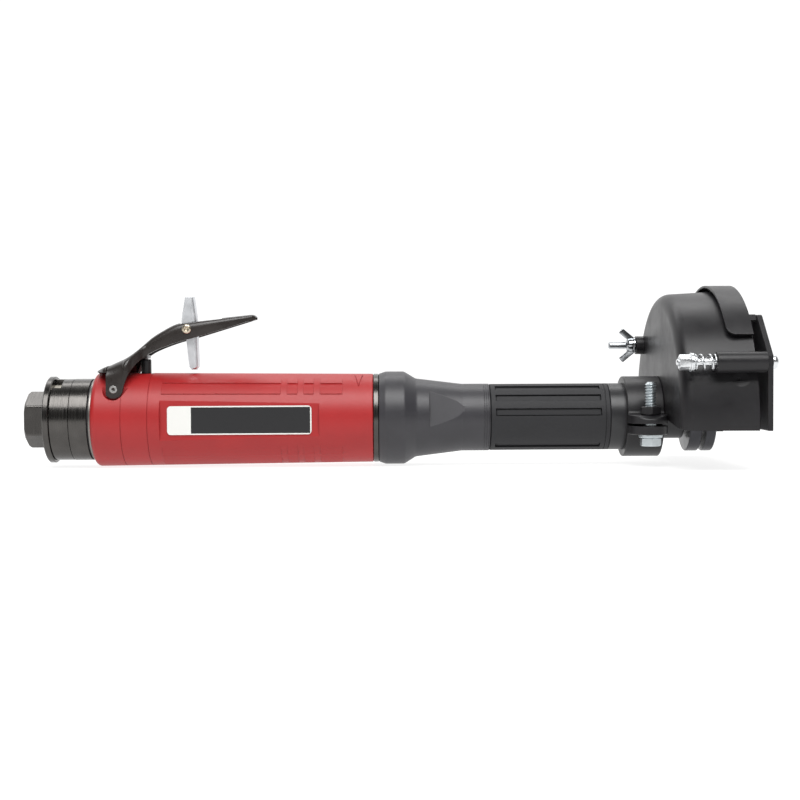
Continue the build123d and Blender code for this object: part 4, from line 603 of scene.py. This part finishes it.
class GRINDER_OT_clamp_bolt(bpy.types.Operator):
    """Draw the clamp bolt, its washer and its nut with their thread and eased corners"""

    bl_idname = "grinder.clamp_bolt"
    bl_label = "Clamp bolt"

    def execute(self, context):
        pitch = sizes().clamp_pitch
        low, high, _ = span("clamp_bolt")
        wash_low, wash_high, middle = span("clamp_washer")
        nut_low, nut_high, _ = span("clamp_nut")
        origin = (middle[0], middle[1], 0)
        flats, radius, sides = 10 * MM, 3 * MM, 72

        face_depth, face_radius = 0.5 * MM, 0.84 * flats / 2
        thread_start = nut_low[2] - 2 * pitch
        head = hex_rows(low[2], wash_low[2] - face_depth, flats, sides, ease_end=False)
        shank = turned_rows([(wash_low[2] - face_depth, face_radius), (wash_low[2], face_radius),
                             (wash_low[2], radius), (thread_start, radius)], sides)
        thread = thread_rows(thread_start, high[2], radius, pitch, sides)
        bolt = rings_of(*stacked(head, shank, thread), origin, "z")
        piece("clamp_bolt_threaded", ring_surface(bolt), "satin_zinc_plate", "guard", "zinc", "clamp_bolt")

        slack, ease = 0.2 * MM, 0.25 * MM
        outer = (wash_high[0] - wash_low[0]) / 2
        washer = rings_of(*washer_rows(wash_low[2], wash_high[2], radius + slack, outer, ease, sides),
                          origin, "z")
        piece("clamp_washer_eased", ring_surface(washer, True), "satin_zinc_plate", "guard", "zinc",
              "clamp_washer")

        lead, lead_depth = 0.5 * MM, 0.6 * MM
        body = hex_rows(nut_low[2], nut_high[2], flats, sides)
        bore = turned_rows([(nut_high[2], radius + lead), (nut_high[2] - lead_depth, radius),
                            (nut_low[2] + lead_depth, radius), (nut_low[2], radius + lead)], sides)
        nut = rings_of(*stacked(body, bore), origin, "z")
        piece("clamp_nut_eased", ring_surface(nut, True), "black_powder_coat", "guard", "black_coat",
              "clamp_nut")
        return {"FINISHED"}


class GRINDER_OT_threads(bpy.types.Operator):
    """Draw the pipe thread in the air inlet and the wheel thread at the spindle's end"""

    bl_idname = "grinder.threads"
    bl_label = "Inlet and spindle threads"

    def execute(self, context):
        sides, origin = 72, (0, 0, 0)
        mouth = span("inlet_bushing")[0][0]
        start, end, bore, back = mouth + 1.2 * MM, mouth + 15.8 * MM, 7.45 * MM, 7.6 * MM
        inner = thread_rows(start, end, bore, sizes().inlet_pitch, sides, ease=0)
        outer = turned_rows([(end, back), (start, back)], sides)
        rings = rings_of(*stacked(inner, outer), origin, "x")
        piece("inlet_pipe_thread", ring_surface(rings, True), "black_oxide_steel", "tool", "dark_steel")

        sunk, proud, crest = 1 * MM, 0.02 * MM, 4.8 * MM
        start, end = span("spindle_nut")[1][0] - sunk, span("spindle")[1][0] + proud
        rings = rings_of(*thread_rows(start, end, crest, sizes().spindle_pitch, sides), origin, "x")
        piece("spindle_wheel_thread", ring_surface(rings), "bright_turned_steel", "shaft", "bright_steel")
        return {"FINISHED"}


class GRINDER_OT_hinge(bpy.types.Operator):
    """Draw the cover hinge: threaded bolt, flange nut, washer and coil spring"""

    bl_idname = "grinder.hinge"
    bl_label = "Cover hinge"

    def execute(self, context):
        pitch, sides = sizes().small_pitch, 60
        low, high, middle = span("hinge_bolt")
        wash_low, wash_high, _ = span("hinge_washer")
        tube_low = span("hinge_tube")[0]
        seat = span("cover_plate")[1][0]
        origin = (0, middle[1], middle[2])

        radius, head, rim = 2 * MM, 3.7 * MM, 0.8 * MM
        dome = np.linspace(0, pi / 2, 9)[1:7]
        under = turned_rows([(seat, radius), (seat, head), (seat + rim, head)], sides)
        crown = turned_rows(np.stack([seat + rim + (high[0] - seat - rim) * np.sin(dome),
                                      head * np.cos(dome) ** 0.6], 1), sides)
        top, chamfer, depth = high[0] - 0.02 * MM, 0.1 * MM, 1.5 * MM
        mouth, inside = 2.7 * MM, 2.5 * MM
        socket = (np.array([top, top - chamfer, top - depth]),
                  np.stack([hex_radius(around(sides), flats) for flats in (mouth, inside, inside)]))
        thread = thread_rows(wash_low[0], low[0], radius, pitch, sides)
        bolt = rings_of(*stacked(flipped(thread), under, crown, socket), origin, "x")
        piece("hinge_bolt_threaded", ring_surface(bolt), "zinc_plated_steel", "cover_slide", "zinc",
              "hinge_bolt")

        ease, outer = 0.2 * MM, (wash_high[1] - wash_low[1]) / 2
        washer = rings_of(*washer_rows(wash_low[0], wash_high[0], radius, outer, ease, sides), origin, "x")
        piece("hinge_washer_eased", ring_surface(washer, True), "zinc_plated_steel", "cover_slide", "zinc",
              "hinge_washer")

        nut_low, nut_high, _ = span("hinge_nut")
        flats, flange = 7 * MM, (nut_high[1] - nut_low[1]) / 2
        foot, cone, cone_end = nut_high[0] - 1.0 * MM, 0.9 * MM, 0.2 * MM
        ease, edge, lead = 0.25 * MM, 0.15 * MM, 0.4 * MM
        body = hex_rows(nut_low[0], foot - cone, flats, sides, ease_end=False)
        skirt = turned_rows([(foot - cone_end, flange - cone), (foot, flange - ease), (foot + ease, flange),
                             (nut_high[0] - edge, flange), (nut_high[0], flange - edge),
                             (nut_high[0], radius), (nut_low[0] + lead, radius),
                             (nut_low[0], radius + lead)], sides)
        nut = rings_of(*stacked(body, skirt), origin, "x")
        piece("hinge_nut_flanged", ring_surface(nut, True), "zinc_plated_steel", "cover_slide", "zinc",
              "hinge_nut")

        coil_low, coil_high, _ = span("hinge_spring")
        wire, turns = 0.9 * MM, 3.5
        coil_radius = (coil_high[2] - coil_low[2] - wire) / 2
        coil = helix_tube(wash_high[0], tube_low[0], coil_radius, wire, turns, origin, "x")
        spring = piece("hinge_spring_coil", ring_surface(coil), "zinc_plated_steel", "guard", "zinc",
                       "hinge_spring")
        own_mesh(spring)
        return {"FINISHED"}


class GRINDER_OT_latch(bpy.types.Operator):
    """Draw the latch: threaded stud and wing nut"""

    bl_idname = "grinder.latch"
    bl_label = "Latch"

    def execute(self, context):
        pitch, sides = sizes().small_pitch, 48
        low, high, middle = span("latch_stud")
        drum_rear = span("guard_drum")[0][0]
        seat = span("cover_plate")[1][0] + 0.3 * MM
        nut_front = span("wing_nut")[1][0]
        nut_rear = nut_front - 5.0 * MM
        origin = (0, middle[1], middle[2])

        radius, head, rim, round_end = 2 * MM, 3.6 * MM, 0.5 * MM, 0.9 * MM
        turn_in, dome = np.linspace(0, pi / 2, 7), np.linspace(0, pi / 2, 8)
        shank_end = turned_rows(np.stack([low[0] + round_end * (1 - np.cos(turn_in)),
                                          radius - round_end * (1 - np.sin(turn_in))], 1), sides)
        shank = turned_rows([(nut_rear - pitch, radius)], sides)
        thread = thread_rows(drum_rear, nut_rear - pitch, radius, pitch, sides)
        under = turned_rows([(drum_rear, radius), (seat, radius), (seat, head)], sides)
        crown = turned_rows(np.stack([seat + rim + (high[0] - seat - rim) * np.sin(dome),
                                      head * np.maximum(np.cos(dome), 0.02) ** 0.5], 1), sides)
        stud = rings_of(*stacked(shank_end, shank, flipped(thread), under, crown), origin, "x")
        piece("latch_stud_threaded", ring_surface(stud), "polished_nickel_plate", "cover_slide", "zinc",
              "latch_stud")

        # The hub's profile: height from its front or its rear face, and radius, in mm
        bore = radius + 0.05 * MM
        collar = np.array([(0, 4.1), (-0.3, 4.4), (-1.0, 4.4), (-1.3, 4.0), (-2.4, 4.1)]) * MM
        tail = np.array([(1.2, 3.8), (0.4, 3.3), (0, 2.7)]) * MM
        profile = np.vstack([(nut_front, bore), collar + (nut_front, 0),
                             tail + (nut_rear, 0), (nut_rear, bore)])
        hub = ring_surface(rings_of(*turned_rows(profile, sides), origin, "x"), True)
        wings = [wing_blade(nut_front, origin, side) for side in (-1, 1)]
        piece("wing_nut_formed", joined(hub, *wings), "polished_nickel_plate", "wing", "zinc", "wing_nut")
        return {"FINISHED"}


def wing_blade(front, origin, side):
    """One wing: a flat-sided oblong carried straight out and back from the hub, with a blunt end.

    Half thicknesses, half widths and length are in mm; the section shrinks over the last tenth."""
    tilt, length, half_width = radians(39.6), 9.1, 1.7
    root = np.array([front - 1.2 * MM, 2.8 * MM])
    slant = np.array([-cos(tilt), sin(tilt)])
    across = np.array([sin(tilt), cos(tilt)])
    share = np.array([0, 0.3, 0.6, 0.9, 0.96, 0.985, 1.0])
    ease = np.array([1, 1, 1, 1, 0.97, 0.9, 0.75])
    path = root + slant * (share * length * MM)[:, None]
    width = half_width * ease * MM
    thick = np.array([1.3, 0.95, 0.85, 0.8, 0.8, 0.8, 0.8]) * ease * MM
    wide, deep = squared(around(24), 0.22)
    x = path[:, None, 0] + across[0] * width[:, None] * wide[None, :]
    z = path[:, None, 1] + across[1] * width[:, None] * wide[None, :]
    y = thick[:, None] * deep[None, :]
    return ring_surface(np.stack([x, origin[1] + y, origin[2] + side * z], -1))


class GRINDER_OT_levers(bpy.types.Operator):
    """Draw the pressed throttle lever with its plunger pad, the folded lock-off lever and its rivet"""

    bl_idname = "grinder.levers"
    bl_label = "Levers"

    def execute(self, context):
        lever = piece("throttle_lever_pressed", joined(lever_sheet(), lever_tongue()), "black_lever_coat",
                      "lever", "black_coat", "throttle_lever", crease=60)
        thickened(lever, sizes().sheet)
        lock = piece("lock_lever_folded", lock_sheet(), "tumbled_zinc", "lock", "zinc", "lock_lever",
                     crease=60)
        thickened(lock, sizes().lock_sheet, even=False)

        pad_half, pad_rise, pad_back = np.array([2.4, 6.6, 1.2]) * MM, 16.4 * MM, 1.0 * MM
        pad_low = JOINTS["throttle_press"]["pos_m"][2] + pad_rise
        pad_middle = np.array([span("valve_plunger")[2][0] - pad_back, 0, pad_low + pad_half[2]])
        piece("lever_plunger_pad", eased_block(pad_middle, pad_half), "black_lever_coat", "lever",
              "black_coat")

        # The rivet's rolled end: height from its outer face, and radius, in mm; the other end mirrors it
        face = span("lock_rivet")[1][1]
        rolled = np.array([(-0.9, 0.4), (-0.7, 0.75), (-0.2, 1.0), (-0.05, 1.2), (0, 1.5), (-0.1, 2.0),
                           (-0.4, 2.45), (-0.8, 2.6), (-1.1, 2.5), (-1.1, 2.0)]) * MM + (face, 0)
        profile = np.vstack([rolled, rolled[::-1] * (-1, 1)])
        rivet = rings_of(*turned_rows(profile, 48), JOINTS["lock_swing"]["pos_m"], "y")
        piece("lock_rivet_rolled", ring_surface(rivet), "nickel_plated_rivet", "lever", "zinc", "lock_rivet")
        return {"FINISHED"}


def arched(x, low, top, half, slot_side=4.0, slot_rear=0.0, slot_front=0.0):
    """A sheet of arched sections across the tool, one at each x, with a slot in its top; all in mm.

    Each section goes up one wall from its low height, over a rounded shoulder, across at its top height
    and down the other wall: the cosine and sine of an angle, to a power that makes the shoulder square.
    Two columns of the grid follow the slot's sides, and the faces between them and its ends are left out."""
    power, widest_slot, near = 0.42, 0.8, 0.01
    side = np.arccos(np.clip(slot_side / half, 0, widest_slot) ** (1 / power))[:, None]
    up, over = np.linspace(0, 1, 17), np.linspace(0, 1, 9)[1:-1]
    phi = np.hstack([side * up, side + (pi - 2 * side) * over, pi - side * up[::-1]])
    swing, lift = squared(phi, power)
    points = np.stack([np.repeat(x[:, None], phi.shape[1], 1), -half[:, None] * swing,
                       low[:, None] + (top - low)[:, None] * lift], -1).reshape(-1, 3)
    faces = grid_faces(*phi.shape)[:, ::-1].reshape(len(x) - 1, -1, 4)
    open_rows = (x[:-1] > slot_rear - near) & (x[1:] < slot_front + near)
    kept = np.ones(faces.shape[:2], bool)
    kept[open_rows, len(up) - 1:-len(up) + 1] = False
    used, numbers = np.unique(faces[kept], return_inverse=True)
    return points[used] * MM + np.array(JOINTS["throttle_press"]["pos_m"]), numbers.reshape(-1, 4).tolist()


def lever_sheet():
    """The pressed lever from its ears to its tip: arched sections between its top line and its lower edge.

    The half width eases from the fork at the pin to the handle, and closes in round the tip. Points are
    (along, up) from the pin, in mm."""
    fork, handle, handle_end = span("throttle_lever")[1][1] / MM, 8.5, 7.0
    ear_radius, tip_start, tip = 5, 72.4, 75.3
    slot_side, slot_rear, slot_front = 6.3, 33.3, 56.9
    top = np.vstack([
        curve_through([(-4.9, 12.2), (0, 14.4), (8, 18.4), (17.7, 27.1), (25.3, 32), (32.5, 35.4),
                       (40.8, 36.6), (56.3, 38.4), (tip_start, 40.1)], 200),
        [(73.4, 40.1), (74.3, 39.9), (74.9, 39.5), (tip, 38.9)],
    ])
    ear = np.linspace(pi + 0.64, 2 * pi, 25)
    edge = np.vstack([
        np.stack([ear_radius * np.cos(ear), ear_radius * np.sin(ear)], 1),
        [(5.6, 2.0), (7.9, 8.1)],
        curve_through([(7.9, 8.1), (11.8, 14.2), (18.3, 19.5), (30.3, 24.4), (44.3, 28.3)], 40)[1:],
        [(60.0, 33.0), (tip, 37.6)],
    ])
    stretches = ((ear_radius, 8, 8), (8, 20, 25), (20, slot_rear, 14), (slot_rear, slot_front, 24),
                 (slot_front, tip_start, 15), (tip_start, tip, 10))
    x = np.concatenate([ear_radius * np.cos(ear), *(np.linspace(*stretch)[1:] for stretch in stretches)])
    half = np.where(x < 40, smooth_step(x, 5.5, 16.0, fork, handle),
                    smooth_step(x, 40, 72, handle, handle_end))
    half = half * np.sqrt(np.clip(1 - np.clip((x - 71) / 6, 0, 1) ** 2, 0, 1))
    return arched(x, np.interp(x, edge[:, 0], edge[:, 1]), np.interp(x, top[:, 0], top[:, 1]), half,
                  slot_side, slot_rear, slot_front)


def lever_tongue():
    """The lip at the lever's rear end: shallow arched sections that bend down and narrow towards the end."""
    fork = span("throttle_lever")[1][1] / MM
    rear, front = -10.1, -3.8
    x = np.linspace(rear, front, 20)
    top = np.interp(x, [rear, -9.4, -7.4, front], [9.6, 10.4, 11.3, 12.7])
    low = np.interp(x, [rear, -8.6, front], [9.2, 9.1, 8.9])
    return arched(x, low, top, smooth_step(x, -10.9, -4.6, 11.0, fork - 0.2))


def eased_block(middle, half):
    """A block with eased corners: an oblong in x and z carried straight across the tool."""
    x, z = squared(around(32), 0.2)
    across, ease = np.array([[-1, -0.97, 0.97, 1], [0.94, 1, 1, 0.94]])
    ring = np.stack([ease[:, None] * x, np.repeat(across[:, None], len(x), 1), ease[:, None] * z], -1)
    return ring_surface(middle + ring * half)


def lock_sheet():
    """The folded lock-off lever: a channel whose web faces forwards, narrower towards both ends.

    Each section is half an oblong between the rear line and the front line, whose points are (along, up)
    from the rivet, in mm. Three more rows at each end fold its walls in, so that the ends look closed."""
    count, half_width, top_fold, foot_fold = 60, 5.1, 0.9, 1.6
    front = curve_through([(3.4, 17.4), (5.0, 5.3), (5.2, 0), (5.4, -10), (5.6, -19.4), (4.8, -21.2)], count)
    rear = curve_through([(-1.2, 17.4), (-3.1, 4.7), (-2.2, 0), (-0.7, -5.9), (0.8, -19.6), (1.9, -21.2)],
                         count)
    fold = np.array([[0.88, 0.28], [0.66, 0.42], [0.35, 0.5]])
    up, down = fold[::-1, 1:] * [0, top_fold], fold[:, 1:] * [0, -foot_fold]
    front = np.vstack([front[0] + up, front, front[-1] + down])
    rear = np.vstack([rear[0] + up, rear, rear[-1] + down])
    half = half_width * np.concatenate([fold[::-1, 0], np.ones(count), fold[:, 0]])
    swing, lift = squared(np.linspace(0, pi, 33), 0.35)
    x = rear[:, None, 0] + (front - rear)[:, None, 0] * lift[None, :]
    z = rear[:, None, 1] + (front - rear)[:, None, 1] * lift[None, :]
    y = -half[:, None] * swing[None, :]
    points = np.stack([x, y, z], -1).reshape(-1, 3) * MM + np.array(JOINTS["lock_swing"]["pos_m"])
    return points, grid_faces(*x.shape)[:, ::-1].tolist()


class GRINDER_OT_inner_springs(bpy.types.Operator):
    """Draw the springs inside the tool: the lock lever's torsion coil and the valve spring"""

    bl_idname = "grinder.inner_springs"
    bl_label = "Inner springs"

    def execute(self, context):
        pivot = JOINTS["lock_swing"]["pos_m"]
        low, high, _ = span("lock_spring")
        wire, turns = 0.7 * MM, 5
        coil = helix_tube(low[1] - pivot[1], high[1] - pivot[1], (high[2] - low[2] - wire) / 2, wire, turns,
                          pivot, "y")
        piece("lock_spring_coil", ring_surface(coil), "zinc_plated_steel", "lever", "zinc", "lock_spring")

        low, high, middle = span("valve_spring")
        wire, turns = 0.8 * MM, 6
        coil = helix_tube(low[2], high[2], (high[0] - low[0] - wire) / 2, wire, turns,
                          (middle[0], middle[1], 0), "z")
        spring = piece("valve_spring_coil", ring_surface(coil), "zinc_plated_steel", "tool", "zinc",
                       "valve_spring")
        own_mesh(spring)
        return {"FINISHED"}


class GRINDER_OT_stage(bpy.types.Operator):
    """Set up the pale floor, the soft studio light and the camera"""

    bl_idname = "grinder.stage"
    bl_label = "Stage"

    def execute(self, context):
        scene = context.scene
        gap, size = 0.4 * MM, 8.0
        ground = float(CAD_BOX[0][2]) - gap
        corners = [(x * size, y * size, ground) for x, y in ((-1, -1), (1, -1), (1, 1), (-1, 1))]
        mesh = bpy.data.meshes.new("studio_floor")
        mesh.from_pydata(corners, [], [(0, 1, 2, 3)])
        # Opal acrylic of a light table: it glows evenly, so that shadows on it stay pale.
        shader = new_material("opal_acrylic")[1]
        shader.inputs["Base Color"].default_value = opaque(colours().floor)
        shader.inputs["Roughness"].default_value = 0.9
        shader.inputs["Emission Color"].default_value = (1, 1, 1, 1)
        shader.inputs["Emission Strength"].default_value = 0.84
        mesh.materials.append(bpy.data.materials["opal_acrylic"])
        floor = bpy.data.objects.new("studio_floor", mesh)
        scene.collection.objects.link(floor)

        world = bpy.data.worlds.new("white_studio")
        world.use_nodes = True
        tree = world.node_tree
        tree.nodes.clear()
        # A white wall behind the tool and a dim room in front of it, which polished faces mirror; looked at
        # straight, both are white.
        axes = add(tree, "ShaderNodeSeparateXYZ",
                   {"Vector": add(tree, "ShaderNodeTexCoord").outputs["Generated"]})
        level = add(tree, "ShaderNodeMapRange", {"Value": axes.outputs["Y"], "From Min": 0.0,
                                                 "From Max": 0.45, "To Min": 0.11, "To Max": 1.1},
                    interpolation_type="SMOOTHSTEP")
        seen = add(tree, "ShaderNodeMath", {0: level.outputs["Result"],
                                            1: add(tree, "ShaderNodeLightPath").outputs["Is Camera Ray"]},
                   operation="MAXIMUM")
        back = add(tree, "ShaderNodeBackground", {"Color": (1, 1, 1, 1), "Strength": seen.outputs[0]})
        add(tree, "ShaderNodeOutputWorld", {"Surface": back.outputs["Background"]})
        scene.world = world

        middle = (CAD_BOX[0] + CAD_BOX[1]) / 2
        for name, at, width, depth, watts in (
            ("key_softbox", (0.22, -0.72, 1.02), 1.2, 0.75, 19.0),
            ("back_softbox", (0.2, 0.66, 1.15), 1.3, 0.3, 4.0),
        ):
            light = bpy.data.lights.new(name, "AREA")
            light.shape = "RECTANGLE"
            light.size, light.size_y = width, depth
            light.energy = watts
            lamp = bpy.data.objects.new(name, light)
            lamp.location = at
            lamp.rotation_mode = "QUATERNION"
            lamp.rotation_quaternion = (middle - lamp.location).to_track_quat("-Z", "Y")
            scene.collection.objects.link(lamp)

        # The camera stands on the tool's near side, a little above its axis, and looks slightly down.
        place = (0.19563, -0.77808, 0.03255)
        yaw, pitch, roll = radians(0.568), radians(-1.686), radians(-0.319)
        view = bpy.data.cameras.new("catalogue_camera")
        view.sensor_width = 36.0
        view.lens = 63.59
        camera = bpy.data.objects.new("catalogue_camera", view)
        ahead = Vector((sin(yaw) * cos(pitch), cos(yaw) * cos(pitch), sin(pitch)))
        right = Vector((cos(yaw), -sin(yaw), 0.0))
        up = right.cross(ahead)
        right, up = right * cos(roll) + up * sin(roll), up * cos(roll) - right * sin(roll)
        turn = Matrix((right, up, -ahead)).transposed().to_4x4()
        camera.matrix_world = Matrix.Translation(place) @ turn
        scene.collection.objects.link(camera)
        scene.camera = camera
        scene.view_settings.view_transform = "Standard"
        return {"FINISHED"}


OPERATORS = (
    GRINDER_OT_finishes,
    GRINDER_OT_clamp_bolt,
    GRINDER_OT_threads,
    GRINDER_OT_hinge,
    GRINDER_OT_latch,
    GRINDER_OT_levers,
    GRINDER_OT_inner_springs,
    GRINDER_OT_stage,
)


class GRINDER_PT_panel(bpy.types.Panel):
    """Lists the pieces of the grinder"""

    bl_idname = "GRINDER_PT_panel"
    bl_label = "Straight grinder"
    bl_space_type = "VIEW_3D"
    bl_region_type = "UI"
    bl_category = "Grinder"

    def draw(self, context):
        for operator in OPERATORS:
            self.layout.operator(operator.bl_idname)


CLASSES = (GrinderSizes, GrinderColours, *OPERATORS, GRINDER_PT_panel)


def register():
    for item in CLASSES:
        bpy.utils.register_class(item)
    bpy.types.Scene.grinder_sizes = bpy.props.PointerProperty(type=GrinderSizes)
    bpy.types.Scene.grinder_colours = bpy.props.PointerProperty(type=GrinderColours)


def unregister():
    del bpy.types.Scene.grinder_sizes
    del bpy.types.Scene.grinder_colours
    for item in reversed(CLASSES):
        bpy.utils.unregister_class(item)


def main():
    """Build every piece in order."""
    register()
    bpy.ops.grinder.finishes()
    bpy.ops.grinder.clamp_bolt()
    bpy.ops.grinder.threads()
    bpy.ops.grinder.hinge()
    bpy.ops.grinder.latch()
    bpy.ops.grinder.levers()
    bpy.ops.grinder.inner_springs()
    bpy.ops.grinder.stage()


if __name__ == "__main__":
    main()
